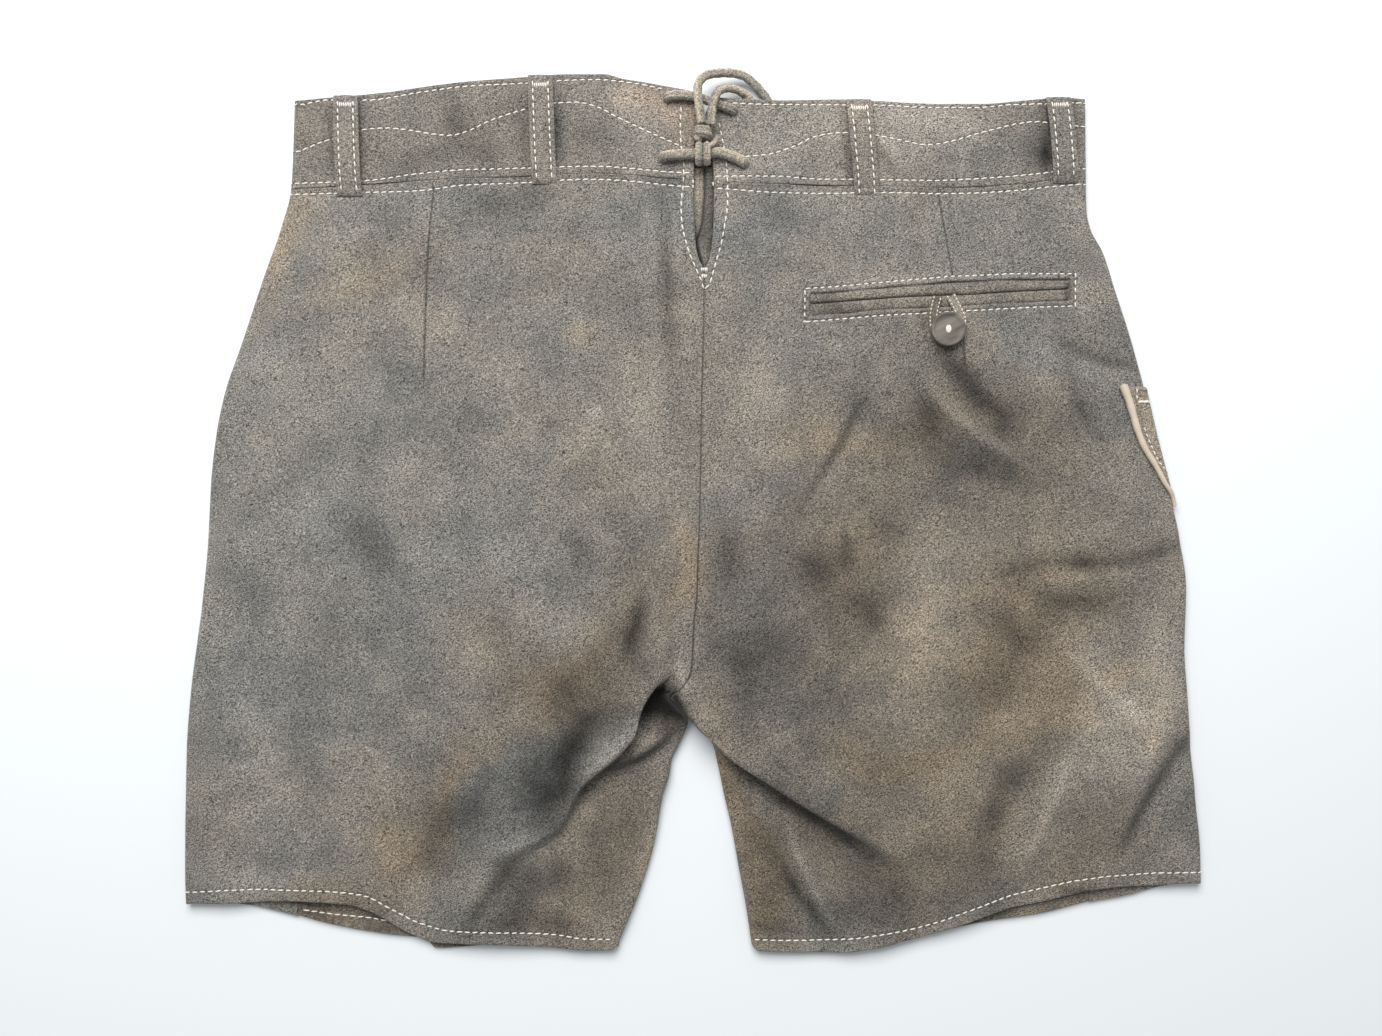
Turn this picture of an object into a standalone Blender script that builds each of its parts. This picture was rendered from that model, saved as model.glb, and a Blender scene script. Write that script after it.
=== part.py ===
"""Short suede lederhosen, laid out flat on their front with the back upwards.

All sizes below are in millimetres. X runs across the garment, Y from the hems up to the waist, and Z up
from the surface it lies on. Every leather piece is a wall of its real thickness. It is worked out on a grid
of rows and columns between its own edges, as its outer face, and then thickened inwards.
"""

import math

import bpy
import numpy as np

MM = 0.001

# Leather and how it lies
LEATHER = 1.4          # one layer of suede
BAND_WALL = 2.2        # waistband: suede folded over a stay
SEAM_GAP = 0.3         # between pieces that are sewn edge to edge
LIE_HEIGHT = 6.0       # outer face of the back above the surface, with both layers and air
BAND_PROUD = 0.6       # waistband above the panel beside it
SIDE_WRAP = 64.0       # the back panels reach this far round under the garment to the side seams
HEM_TURN = 9.0         # depth of the turned hem
HEM_EXTRA = 0.8        # extra thickness of the turned hem
LEG_ROLL = 4.0         # width over which the inner leg edge rolls down to the inseam
INSEAM_HEIGHT = 3.0    # height of the inseam along the legs
CROTCH_HEIGHT = 8.0    # height of the seam where the four leg seams cross
LACING_RISE = 2.4      # the layers behind the lacing lift the back this much
LACING_X = 6.0         # middle of the lacing
LACING_REACH = 42.0    # how fast that lift fades sideways
LACING_UP = (95.0, 165.0)      # and the heights between which it starts
SEAM_HALF_GAP = 0.21   # each back panel keeps this far from the centre seam
CROTCH_UP = (-126.0, -113.0)   # the inseam rises to the crotch between these heights
BACK_ROLL_UP = (-122.0, -112.0)    # the back's inner edge rolls down below these
FRONT_ROLL_UP = (-112.0, -96.0)    # the front's inner edge turns up below these
CENTRE_FRONT = 4.0     # centre front seam, on the underside

# Side folds: (up, across)
LEFT_SIDE = ((240, -229.5), (190, -231.5), (164, -238), (140, -246.5), (95, -261.5), (72, -269.5),
             (49, -274.5), (25, -277.5), (-20, -280), (-66, -285), (-101, -289.5), (-135, -292),
             (-204, -293), (-225, -292.5))
RIGHT_SIDE = ((240, 226.5), (195, 227), (175, 227.5), (164, 230), (152, 236.5), (129, 244), (106, 251.5),
              (83, 258), (60, 263), (37, 268.5), (14, 274.5), (-9, 280), (-43, 285), (-78, 284),
              (-101, 285.5), (-158, 289.5), (-193, 293), (-213, 293.5))

# Centre back: edges of the lacing slit, then the seam down to the crotch: (up, across)
LEFT_SLIT = ((246, 6), (228, 6), (222, 4), (215, 1.5), (199, 1), (184, 0.5), (169, 1), (154, 2),
             (146, 4), (141, 6.4))
RIGHT_SLIT = ((240, 11), (231.5, 8), (227, 6.6), (220, 8), (209.5, 10.5), (199, 11.7), (184, 12.3),
              (162, 11.7), (149, 10), (143, 8), (141, 6.8))
BACK_SEAM = ((137, 6.6), (128, 6.6), (68, 5.4), (8, 4.4), (-26, 3.2), (-48, 2.6), (-61, 1), (-75, 0.3),
             (-88, -0.5), (-93, -2), (-99, -6.5), (-104, -12.4), (-108, -9), (-114, -3.7))
LEFT_INSEAM = ((-119, -2.6), (-128, -5.5), (-135, -9), (-141, -12), (-149, -13), (-162, -17),
               (-187, -21.5), (-216, -30), (-247, -42.5))
RIGHT_INSEAM = ((-124, 3.7), (-130, 10.5), (-145, 14.7), (-164, 18.7), (-178, 22), (-204, 26.7),
                (-229, 31.3), (-249, 34.2))

# Waist edge and the seam under the waistband: (across, up)
LEFT_WAIST = ((-230, 238), (-189, 242), (-143, 247.5), (-97, 252), (-74, 253.3), (-51, 253.3),
              (-40, 250.5), (-28, 248.5), (-5, 244), (6, 241.5))
RIGHT_WAIST = ((11, 239.5), (22, 239), (52, 238), (86, 239), (110, 238), (144, 236.6), (167, 236.6),
               (190, 238.3), (213, 240), (227, 239))
LEFT_BAND_SEAM = ((-232, 187), (-219, 187.7), (-158, 191.8), (-97, 194.6), (-55, 195.8), (-5, 192.3),
                  (1, 191.8))
RIGHT_BAND_SEAM = ((12, 190), (50, 190), (92, 189), (138, 188), (181, 189.5), (206, 192.3), (227, 194.6))
FRONT_WAIST_DROP = 10.0   # the front waist lies this much lower at the centre

# Hems of the back, and of the layer under it: (across, up)
LEFT_HEM = ((-292, -224.3), (-269, -224.3), (-233, -222.8), (-215, -223.4), (-196, -225.1),
            (-185, -229), (-174, -235.5), (-160, -243.5), (-149, -247), (-123, -247.5), (-86, -249.3),
            (-59, -251.6), (-46, -251), (-42.5, -247))
LEFT_UNDER_HEM = ((-292, -224.5), (-264, -225.1), (-227, -232.6), (-215, -236), (-196, -240),
                  (-178, -243), (-153, -246.4), (-149, -251.2), (-132, -250.4), (-108, -248.1),
                  (-86, -247.5), (-59, -249.8), (-46, -249.3))
RIGHT_HEM = ((34.2, -248.7), (37.7, -251.6), (63.5, -252.7), (84, -252.7), (103, -250.4), (127, -244.7),
             (153, -237.2), (183, -226.8), (202, -223.4), (228, -216.5), (252, -214.2), (268, -214.2),
             (281, -213), (293.5, -212.5))
RIGHT_UNDER_HEM = ((34.2, -247), (37.7, -249.8), (63.5, -251), (84, -251), (103, -249.3), (127, -245.2),
                   (143, -241.8), (169, -236), (202, -231), (230, -224), (252, -219.9), (269, -215.3),
                   (281, -213.6), (293.5, -213))

# Big folds of the back: (across, up, height of the crest above the cloth)
LEFT_RIDGE = ((14, -70, 0), (0, -83, 7), (-13, -90, 14), (-21.5, -97.5, 18), (-28.5, -109, 19),
              (-34, -127, 17), (-45, -137, 15), (-57, -146, 13), (-67, -155, 11), (-77, -177, 8),
              (-86, -184, 7), (-104, -192, 4), (-124, -207, 0))
LOWER_RIDGE = ((-9, -121, 2), (-22, -130, 5), (-35, -139, 4), (-56, -146, 0))
RIGHT_CREASE = ((-12, -103, 9), (-3.7, -113, 11), (3.7, -123, 12), (10.5, -130, 12), (26, -142, 10),
                (43, -153, 8), (57, -162, 6.5), (75, -173, 5), (110, -193, 2.5), (129, -205, 0))

# Heights at the centre back where the panels have a row of points, closest together at the crotch
PANEL_ROWS = (178, 165, 152, 141, 128, 112, 96, 80, 62, 44, 26, 8, -10, -28, -46, -60, -72, -82, -90, -97,
              -104, -109, -114, -119, -124, -130, -138, -148, -160, -173, -187, -201, -215, -229)
ROLL_ANGLES = np.radians((0, 30, 60, 90))

# Drop front, on the underside
FLAP_HALF = 80.0
FLAP_BASE = 20.0
FLAP_STEP = 16.0       # the waistband steps up over this width beside the flap
FLAP_SLACK = 0.1       # between the waistband and the flap, over the seam gap
FLAP_STEP_CLEAR = 2.0  # the step starts this far outside the flap
FLAP_FREE = 1.0        # the flap ends this far below the waist
FLAP_CUTTER_PAST = 5.0     # how far its cutter goes past the centre and through the wall
FLAP_CUTTER_TOP = 260.0

# Belt loops: (across at the top, across at the foot, foot up)
BELT_LOOPS = ((-199, -197, 183), (-87.4, -85, 190), (95.2, 100.3, 183.5), (210, 214.5, 190.5))
LOOP_WIDTH = 14.5
LOOP_WALL = 1.8
LOOP_ARCH = 1.8        # slack under the loop

# Welt pocket on the right back: edges of its window and its mouth: (across, up)
WINDOW_TOP = ((67, 127), (100, 129.7), (137, 133), (150, 134.3), (187, 135.4), (218, 135.6))
WINDOW_MOUTH = ((67, 121.4), (112, 124.5), (137, 126.2), (154, 126.8), (187, 128.5), (218, 130.2))
WINDOW_FOOT = ((67, 114), (112, 117.3), (157, 120), (187, 121.3), (218, 122.8))
WINDOW_LEFT = 67.5
WINDOW_RIGHT = 217.5
WELT_WALL = 1.6
WELT_SINK = 0.2

# Pocket button and the strap that loops round it
BUTTON_AT = (146.3, 106.1)
BUTTON_RADIUS = 10.0
BUTTON_THICK = 3.0
SHANK_RADIUS = 1.8
STRAP_PATH = ((140.6, 125.2), (139.0, 119), (138.2, 112), (140, 104.5), (146.3, 101),
              (152.6, 104.5), (154.6, 112), (151.8, 119), (148.2, 125.8))
STRAP_WIDTH = 5.6
STRAP_WALL = 1.5
STRAP_POINTS = 22

# Knife pocket round the right side fold: (up, reach on to the back, reach round under the side)
KNIFE_POCKET = ((73.5, 14.0, 36.0), (64, 12.6, 36.0), (48, 11.6, 35.0), (40, 10.4, 33.5), (28.5, 6.4, 31.0),
                (17, 3.2, 27.0), (9, 0.8, 22.0), (2, 0.2, 16.0), (-3, 0.0, 9.5))
POCKET_WALL = 1.4
POCKET_UP = (-27.0, -9.0, 77.0, 94.0)   # the pocket lifts the leg between these heights
POCKET_IN = (38.0, 56.0)                # and as far in from the side fold as this
PIPING_RADIUS = 1.7
PIPING_FOOT = 6.0

# Lace
LACE_RADIUS = 2.5
EYELET_RADIUS = 3.1
EYELET_CUTTER = (4.9, 20.0)     # foot and top of the cutter
LOWER_EYELETS = ((-17, 204.4), (30.2, 201.0))
UPPER_EYELETS = ((-14.7, 239.0), (23.9, 230.9))
KNOT_AT = (6.0, 215.6)
KNOT_SIZES = (4.8, 4.4)    # across, and up and down
WRAPS_ACROSS = (3.7, 8.1)
WRAP_RADIUS = 2.05

# Waistband rows from the waist to the seam: (fraction of the way, how far the outer face is rounded off)
BAND_ROWS = ((0.0, 0.5), (0.05, 0.0), (0.5, 0.0), (0.95, 0.0), (1.0, 0.4))

# Grids
BACK_FLAT_COLUMNS = 14
FOLD_STEPS = 5
UNDER_COLUMNS = 3
FRONT_COLUMNS = 6
BAND_BACK_COLUMNS = 12
BAND_SIDE_COLUMNS = 4
BAND_FLAP_COLUMNS = 4
POCKET_BACK_COLUMNS = 2
POCKET_UNDER_COLUMNS = 4

SUEDE_GREY = (0.130, 0.118, 0.100)
SUEDE_BROWN = (0.155, 0.122, 0.095)
SUEDE_TAN = (0.330, 0.235, 0.160)
PIPING_CREAM = (0.560, 0.440, 0.330)
HORN_GREY = (0.095, 0.090, 0.088)


def smooth_line(rows):
    """A smooth function through (along, value) rows that never overshoots, and is level past its ends."""
    rows = sorted(rows)
    along = np.array([row[0] for row in rows], float)
    value = np.array([row[1] for row in rows], float)
    step = np.diff(along)
    grade = np.diff(value) / step
    slope = np.zeros(len(rows))
    slope[0] = grade[0]
    slope[-1] = grade[-1]
    for i in range(1, len(rows) - 1):
        if grade[i - 1] * grade[i] > 0:
            before = 2 * step[i] + step[i - 1]
            after = step[i] + 2 * step[i - 1]
            slope[i] = (before + after) / (before / grade[i - 1] + after / grade[i])

    def at(place):
        place = np.clip(place, along[0], along[-1])
        i = np.clip(np.searchsorted(along, place) - 1, 0, len(step) - 1)
        t = (place - along[i]) / step[i]
        start = value[i] * (1 + 2 * t) * (1 - t) ** 2 + slope[i] * step[i] * t * (1 - t) ** 2
        end = value[i + 1] * t * t * (3 - 2 * t) + slope[i + 1] * step[i] * t * t * (t - 1)
        return start + end

    return at


def ease(value, low, high):
    """0 below low, 1 above high, and smooth between them; low may be the larger."""
    t = np.clip((value - low) / (high - low), 0, 1)
    return t * t * (3 - 2 * t)


class Fold:
    """A fold along a path of (across, up, height) rows, soft on one side and steep on the other."""

    def __init__(self, rows, soft_side, soft_width, steep_width):
        self.rows = np.array(rows, float)
        self.soft_side = soft_side
        self.soft_width = soft_width
        self.steep_width = steep_width

    def height(self, x, y):
        nearest = np.full(np.shape(x), 1e9)
        height = np.zeros(np.shape(x))
        side = np.zeros(np.shape(x))
        for start, end in zip(self.rows[:-1], self.rows[1:]):
            run = end[:2] - start[:2]
            length = np.hypot(*run)
            t = np.clip(((x - start[0]) * run[0] + (y - start[1]) * run[1]) / length**2, 0, 1)
            off_x = x - start[0] - t * run[0]
            off_y = y - start[1] - t * run[1]
            distance = np.hypot(off_x, off_y)
            closer = distance < nearest
            nearest = np.where(closer, distance, nearest)
            height = np.where(closer, start[2] + t * (end[2] - start[2]), height)
            side = np.where(closer, np.sign(run[0] * off_y - run[1] * off_x), side)
        soft = np.exp(-((nearest / self.soft_width) ** 2))
        steep = 1 - ease(nearest, 0, self.steep_width)
        return height * np.where(side == self.soft_side, soft, steep)


FOLDS = (
    Fold(LEFT_RIDGE, soft_side=-1, soft_width=34.0, steep_width=11.0),
    Fold(LOWER_RIDGE, soft_side=-1, soft_width=8.0, steep_width=8.0),
    Fold(RIGHT_CREASE, soft_side=1, soft_width=30.0, steep_width=9.0),
)


def back_height(x, y):
    """Outer face of the back panels above the surface."""
    lacing = LACING_RISE * np.exp(-(((x - LACING_X) / LACING_REACH) ** 2)) * ease(y, *LACING_UP)
    folds = 0
    for fold in FOLDS:
        folds = np.maximum(folds, fold.height(x, y))
    return LIE_HEIGHT + lacing + folds


def back_normal(x, y):
    """Direction straight out of the back's outer face."""
    reach = 1.5
    slope_x = (back_height(x + reach, y) - back_height(x - reach, y)) / (2 * reach)
    slope_y = (back_height(x, y + reach) - back_height(x, y - reach)) / (2 * reach)
    return unit(np.stack([-slope_x, -slope_y, np.ones(np.shape(x))], -1))


def unit(vectors):
    return vectors / np.linalg.norm(vectors, axis=-1, keepdims=True)


def turn(sides):
    """Evenly spaced angles round a full turn."""
    return np.linspace(0, 2 * math.pi, sides + 1)[:-1]


def material(name, colour, roughness):
    made = bpy.data.materials.new(name)
    made.use_nodes = True
    shader = made.node_tree.nodes["Principled BSDF"]
    shader.inputs["Base Color"].default_value = (*colour, 1)
    shader.inputs["Roughness"].default_value = roughness
    shader.inputs["Metallic"].default_value = 0
    return made


def add_object(name, points, faces, finish, smooth=True):
    """A closed mesh from points in millimetres, its faces turned outwards."""
    points = np.asarray(points, float)
    volume = 0
    for face in faces:
        for i in range(1, len(face) - 1):
            a, b, c = points[face[0]], points[face[i]], points[face[i + 1]]
            volume += np.dot(a, np.cross(b, c))
    if volume < 0:
        faces = [face[::-1] for face in faces]
    mesh = bpy.data.meshes.new(name)
    mesh.from_pydata((points * MM).tolist(), [], faces)
    mesh.materials.append(finish)
    if smooth:
        mesh.shade_smooth()
        mesh.set_sharp_from_angle(angle=math.radians(40))
    made = bpy.data.objects.new(name, mesh)
    bpy.context.collection.objects.link(made)
    return made


def wall(name, outer, normals, thickness, finish):
    """A wall between a grid of outer points and the same grid moved in by the thickness."""
    rows, columns = outer.shape[:2]
    inner = outer - normals * np.broadcast_to(thickness, (rows, columns))[..., None]
    count = rows * columns
    index = np.arange(count).reshape(rows, columns)
    faces = []
    for r in range(rows - 1):
        for c in range(columns - 1):
            a, b, d, e = index[r, c], index[r, c + 1], index[r + 1, c + 1], index[r + 1, c]
            faces.append((a, b, d, e))
            faces.append((e + count, d + count, b + count, a + count))
    rim = [*index[0, :], *index[1:, -1], *index[-1, -2::-1], *index[-2:0:-1, 0]]
    for a, b in zip(rim, rim[1:] + rim[:1]):
        faces.append((b, a, a + count, b + count))
    faces = [tuple(int(i) for i in face) for face in faces]
    points = np.concatenate([outer.reshape(-1, 3), inner.reshape(-1, 3)])
    return add_object(name, points, faces, finish)


def cut(target, cutter):
    """Cuts one hidden wire object out of a piece."""
    cutter.hide_render = True
    cutter.display_type = "WIRE"
    taken = target.modifiers.new("cut_" + cutter.name, "BOOLEAN")
    taken.operation = "DIFFERENCE"
    taken.object = cutter
    taken.solver = "EXACT"


def prism(name, outline, low, high, finish):
    """A straight-sided cutter from an outline."""
    count = len(outline)
    points = [(x, y, low) for x, y in outline] + [(x, y, high) for x, y in outline]
    faces = [tuple(range(count - 1, -1, -1)), tuple(range(count, 2 * count))]
    for i in range(count):
        j = (i + 1) % count
        faces.append((i, j, j + count, i + count))
    return add_object(name, points, faces, finish, smooth=False)


def settle(v, across, top, foot):
    """The point at fraction v between two edges, on a line whose place across depends on the height."""
    y = top(0.0) + (foot(0.0) - top(0.0)) * v
    for _ in range(12):
        x = across(y)
        y = top(x) + (foot(x) - top(x)) * v
    return float(across(y)), float(y)


def shifted(line, off):
    """A line moved sideways."""
    return lambda at: line(at) + off


def level_line(x):
    """A line that stays at one place across."""
    return lambda at: x


def between(start, end, f):
    """The line at fraction f of the way from one line to another."""
    return lambda at: start(at) + (end(at) - start(at)) * f


class Half:
    """The edges of the left (side -1) or right (side 1) half of the garment."""

    def __init__(self, side):
        self.side = side
        left = side < 0
        slit = LEFT_SLIT if left else RIGHT_SLIT
        inseam = LEFT_INSEAM if left else RIGHT_INSEAM
        seam = [(up, across + side * SEAM_HALF_GAP) for up, across in BACK_SEAM]
        self.inner = smooth_line(list(slit) + seam + list(inseam))
        self.fold = smooth_line(LEFT_SIDE if left else RIGHT_SIDE)
        self.waist = smooth_line(LEFT_WAIST if left else RIGHT_WAIST)
        self.band_seam = smooth_line(LEFT_BAND_SEAM if left else RIGHT_BAND_SEAM)
        self.hem = smooth_line(LEFT_HEM if left else RIGHT_HEM)
        self.under_hem = smooth_line(LEFT_UNDER_HEM if left else RIGHT_UNDER_HEM)
        front_seam = [(up, CENTRE_FRONT + side * SEAM_GAP / 2) for up in (240, 100, 0, -60, -95)]
        fork = [row for row in seam if row[0] < FRONT_ROLL_UP[0]]
        self.front_inner = smooth_line(front_seam + fork + list(inseam))
        self.back_roll = shifted(self.inner, side * LEG_ROLL)
        self.front_roll = shifted(self.front_inner, side * LEG_ROLL)
        self.fold_top = shifted(self.fold, -side * LIE_HEIGHT / 2)
        self.side_seam = shifted(self.fold, -side * SIDE_WRAP)
        self.front_edge = shifted(self.side_seam, -side * SEAM_GAP)
        self.name = "left" if left else "right"

    def top(self, x):
        return self.band_seam(x) - SEAM_GAP / 2

    def band_foot(self, x):
        return self.band_seam(x) + SEAM_GAP / 2

    def front_waist(self, x):
        return self.waist(x) - FRONT_WAIST_DROP * (1 - ease(abs(x), 60, 215))


def inseam_height(y):
    """Height at which the back and front meet along the inner legs and at the crotch."""
    return INSEAM_HEIGHT + (CROTCH_HEIGHT - INSEAM_HEIGHT) * ease(y, *CROTCH_UP)


def pocket_lift(x, y):
    """How far the side of the right leg is lifted by the knife pocket under it."""
    inward = RIGHT.fold(y) - x
    low, full, thin, high = POCKET_UP
    window = ease(y, low, full) * (1 - ease(y, thin, high)) * (1 - ease(inward, *POCKET_IN))
    return (POCKET_WALL + SEAM_GAP) * window


def hem_thickness(y, hem):
    """Wall of a panel: thicker where the hem is turned in."""
    return LEATHER + HEM_EXTRA * (1 - ease(y - hem, HEM_TURN - 2, HEM_TURN))


def back_rows(half):
    """Row fractions from the waistband seam to the hem."""
    top = half.top(half.inner(191))
    foot = half.hem(half.inner(-246))
    rows = [(top - row) / (top - foot) for row in PANEL_ROWS]
    return [0.0] + rows + [1 - (HEM_TURN - 1) / (top - foot), 1.0]


def back_panel(half, finish):
    """A back panel: down from the waistband, over the side fold and under to the side seam."""
    side = half.side
    outer = []
    normals = []
    thickness = []
    for v in back_rows(half):
        points = []
        directions = []
        walls = []
        for angle in ROLL_ANGLES:
            step = LEG_ROLL * (1 - math.cos(angle))
            x, y = settle(v, shifted(half.inner, side * step), half.top, half.hem)
            meet = inseam_height(y)
            rolled = 1 - ease(y, *BACK_ROLL_UP)
            flat_z = float(back_height(x, y))
            edge_z = meet + (float(back_height(half.back_roll(y), y)) - meet) * math.sin(angle)
            rolled_way = np.array((-side * (flat_z - meet) * math.cos(angle), 0, LEG_ROLL * math.sin(angle)))
            points.append((x, y, flat_z + rolled * (edge_z - flat_z)))
            directions.append(unit((1 - rolled) * back_normal(x, y) + rolled * unit(rolled_way)))
            walls.append(hem_thickness(y, half.hem(x)))
        for f in np.linspace(0, 1, BACK_FLAT_COLUMNS + 1)[1:]:
            x, y = settle(v, between(half.back_roll, half.fold_top, f), half.top, half.hem)
            points.append((x, y, float(back_height(x, y))))
            directions.append(back_normal(x, y))
            walls.append(hem_thickness(y, half.hem(x)))
        for angle in np.radians(np.linspace(90, -90, FOLD_STEPS + 1)[1:]):
            x, y = settle(v, half.fold, half.top, half.hem)
            x, z = fold_point(half, y, angle)
            points.append((x, y, z))
            directions.append(np.array((side * math.cos(angle), 0, math.sin(angle))))
            walls.append(hem_thickness(y, half.hem(x)))
        for f in np.linspace(0, 1, UNDER_COLUMNS + 1)[1:]:
            x, y = settle(v, between(half.fold_top, half.side_seam, f), half.top, half.under_hem)
            lift = float(pocket_lift(x, y)) if side > 0 else 0.0
            points.append((x, y, lift))
            directions.append(np.array((0, 0, -1.0)))
            walls.append(hem_thickness(y, half.under_hem(x)))
        outer.append(points)
        normals.append(directions)
        thickness.append(walls)
    return wall("back_" + half.name, np.array(outer), np.array(normals), np.array(thickness, float), finish)


def fold_point(half, y, angle):
    """A point of the outer face on the side fold, from 90 degrees on top to -90 underneath."""
    lift = float(pocket_lift(half.fold(y), y)) if half.side > 0 else 0.0
    radius = (LIE_HEIGHT - lift) / 2
    x = half.fold(y) - half.side * radius * (1 - math.cos(angle))
    return x, lift + radius + radius * math.sin(angle)


def front_panel(half, finish):
    """A front panel, on the underside between the side seam and the centre front and inseam."""
    side = half.side
    outer = []
    normals = []
    thickness = []
    down = np.array((0, 0, -1.0))
    for v in back_rows(half):
        points = []
        directions = []
        walls = []
        for angle in ROLL_ANGLES:
            step = LEG_ROLL * (1 - math.cos(angle))
            x, y = settle(v, shifted(half.front_inner, side * step), half.top, half.under_hem)
            rolled = 1 - ease(y, *FRONT_ROLL_UP)
            edge = (float(inseam_height(y)) - SEAM_GAP) * rolled
            points.append((x, y, edge * (1 - math.sin(angle))))
            turned = unit(np.array((-side * edge * math.cos(angle), 0, -LEG_ROLL * math.sin(angle) - 1e-6)))
            directions.append(unit((1 - rolled) * down + rolled * turned))
            walls.append(hem_thickness(y, half.under_hem(x)))
        for f in np.linspace(0, 1, FRONT_COLUMNS + 1)[1:]:
            x, y = settle(v, between(half.front_roll, half.front_edge, f), half.top, half.under_hem)
            points.append((x, y, 0.0))
            directions.append(down)
            walls.append(hem_thickness(y, half.under_hem(x)))
        outer.append(points)
        normals.append(directions)
        thickness.append(walls)
    made = wall("front_" + half.name, np.array(outer), np.array(normals), np.array(thickness, float), finish)
    past = CENTRE_FRONT - side * FLAP_CUTTER_PAST
    edge = CENTRE_FRONT + side * (FLAP_HALF + SEAM_GAP)
    outline = ((past, FLAP_BASE), (edge, FLAP_BASE), (edge, FLAP_CUTTER_TOP), (past, FLAP_CUTTER_TOP))
    cut(made, prism("flap_cutter_" + half.name, outline, -FLAP_CUTTER_PAST, FLAP_CUTTER_PAST, finish))
    return made


def front_flap(finish):
    """The drop front between the two front panels, seen from below."""
    outer = []
    for v in np.linspace(0, 1, 8):
        points = []
        for x in np.linspace(CENTRE_FRONT - FLAP_HALF, CENTRE_FRONT + FLAP_HALF, 9):
            half = LEFT if x < CENTRE_FRONT else RIGHT
            top = half.front_waist(x) - FLAP_FREE
            foot = FLAP_BASE + SEAM_GAP
            points.append((x, foot + (top - foot) * v, 0.0))
        outer.append(points)
    outer = np.array(outer)
    normals = np.zeros(outer.shape)
    normals[..., 2] = -1
    return wall("front_flap", outer, normals, LEATHER, finish)


def band_step(x):
    """Height of the front waistband's outer face: it lies behind the flap and steps down beside it."""
    off = abs(x - CENTRE_FRONT)
    beside = ease(off, FLAP_HALF + FLAP_STEP_CLEAR, FLAP_HALF + FLAP_STEP)
    return (LEATHER + SEAM_GAP + FLAP_SLACK) * (1 - beside)


def band_height(x, y):
    return back_height(x, y) + BAND_PROUD


def waistband(half, finish):
    """Half of the waistband, from the lacing slit round the side fold to the centre front."""
    side = half.side
    radius = (LIE_HEIGHT + BAND_PROUD) / 2
    outer = []
    normals = []
    walls = []
    fold_start = shifted(half.fold, -side * radius)
    flap_edge = CENTRE_FRONT + side * (FLAP_HALF + FLAP_STEP_CLEAR)
    step_foot = CENTRE_FRONT + side * (FLAP_HALF + FLAP_STEP)
    for v, sink in BAND_ROWS:
        points = []
        directions = []
        for f in np.linspace(0, 1, BAND_BACK_COLUMNS + 1):
            x, y = settle(v, between(half.inner, fold_start, f), half.waist, half.band_foot)
            points.append((x, y, float(band_height(x, y)) - sink))
            directions.append(np.array((0, 0, 1.0)))
        for angle in np.radians(np.linspace(90, -90, FOLD_STEPS + 1)[1:]):
            x, y = settle(v, half.fold, half.waist, half.band_foot)
            across_fold = half.fold(y) - side * radius * (1 - math.cos(angle))
            points.append((across_fold, y, radius + (radius - sink * 0.5) * math.sin(angle)))
            directions.append(np.array((side * math.cos(angle), 0, math.sin(angle))))
        walls.append([BAND_WALL - sink] * (BAND_BACK_COLUMNS + 1)
                     + [BAND_WALL - sink * 0.5] * FOLD_STEPS
                     + [BAND_WALL] * (BAND_SIDE_COLUMNS + BAND_FLAP_COLUMNS))
        for f in np.linspace(0, 1, BAND_SIDE_COLUMNS + 1)[1:]:
            x, y = settle(v, between(fold_start, level_line(step_foot), f), half.front_waist, half.band_foot)
            points.append((x, y, 0.0))
            directions.append(np.array((0, 0, -1.0)))
        for x in np.linspace(flap_edge, CENTRE_FRONT + side * SEAM_GAP, BAND_FLAP_COLUMNS):
            x, y = settle(v, level_line(x), half.front_waist, half.band_foot)
            points.append((x, y, float(band_step(x))))
            directions.append(np.array((0, 0, -1.0)))
        outer.append(points)
        normals.append(directions)
    made = wall("waistband_" + half.name, np.array(outer), np.array(normals), np.array(walls), finish)
    index = 0 if side < 0 else 1
    for level, eyelets in (("upper", UPPER_EYELETS), ("lower", LOWER_EYELETS)):
        x, y = eyelets[index]
        ring = [(x + EYELET_RADIUS * math.cos(a), y + EYELET_RADIUS * math.sin(a)) for a in turn(12)]
        cut(made, prism(f"eyelet_cutter_{level}_{half.name}", ring, *EYELET_CUTTER, finish))
    return made


def slit_gusset(finish):
    """The folded gusset behind the lacing slit: two strips with a fold between them, tapering to a point."""
    fold_line = smooth_line(((200, 6.6), (170, 6.8), (158, 6.4), (150, 5.0), (144, 4.6), (130, 5.4)))
    half_width = smooth_line(((200, 15), (170, 14), (150, 9), (132, 2.5)))
    outer = []
    for y in np.linspace(199, 132, 9):
        middle = float(fold_line(y))
        reach = float(half_width(y))
        lift = float(back_height(LACING_X, y)) - LIE_HEIGHT - LACING_RISE
        points = []
        for off, z in ((-1.0, 5.2), (-0.5, 5.4), (-0.06, 5.9), (0.06, 4.9), (0.5, 5.2), (1.0, 5.2)):
            points.append((middle + off * reach, y, z + lift))
        outer.append(points)
    outer = np.array(outer)
    normals = np.zeros(outer.shape)
    normals[..., 2] = 1
    return wall("slit_gusset", outer, normals, 0.9, finish)


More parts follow.
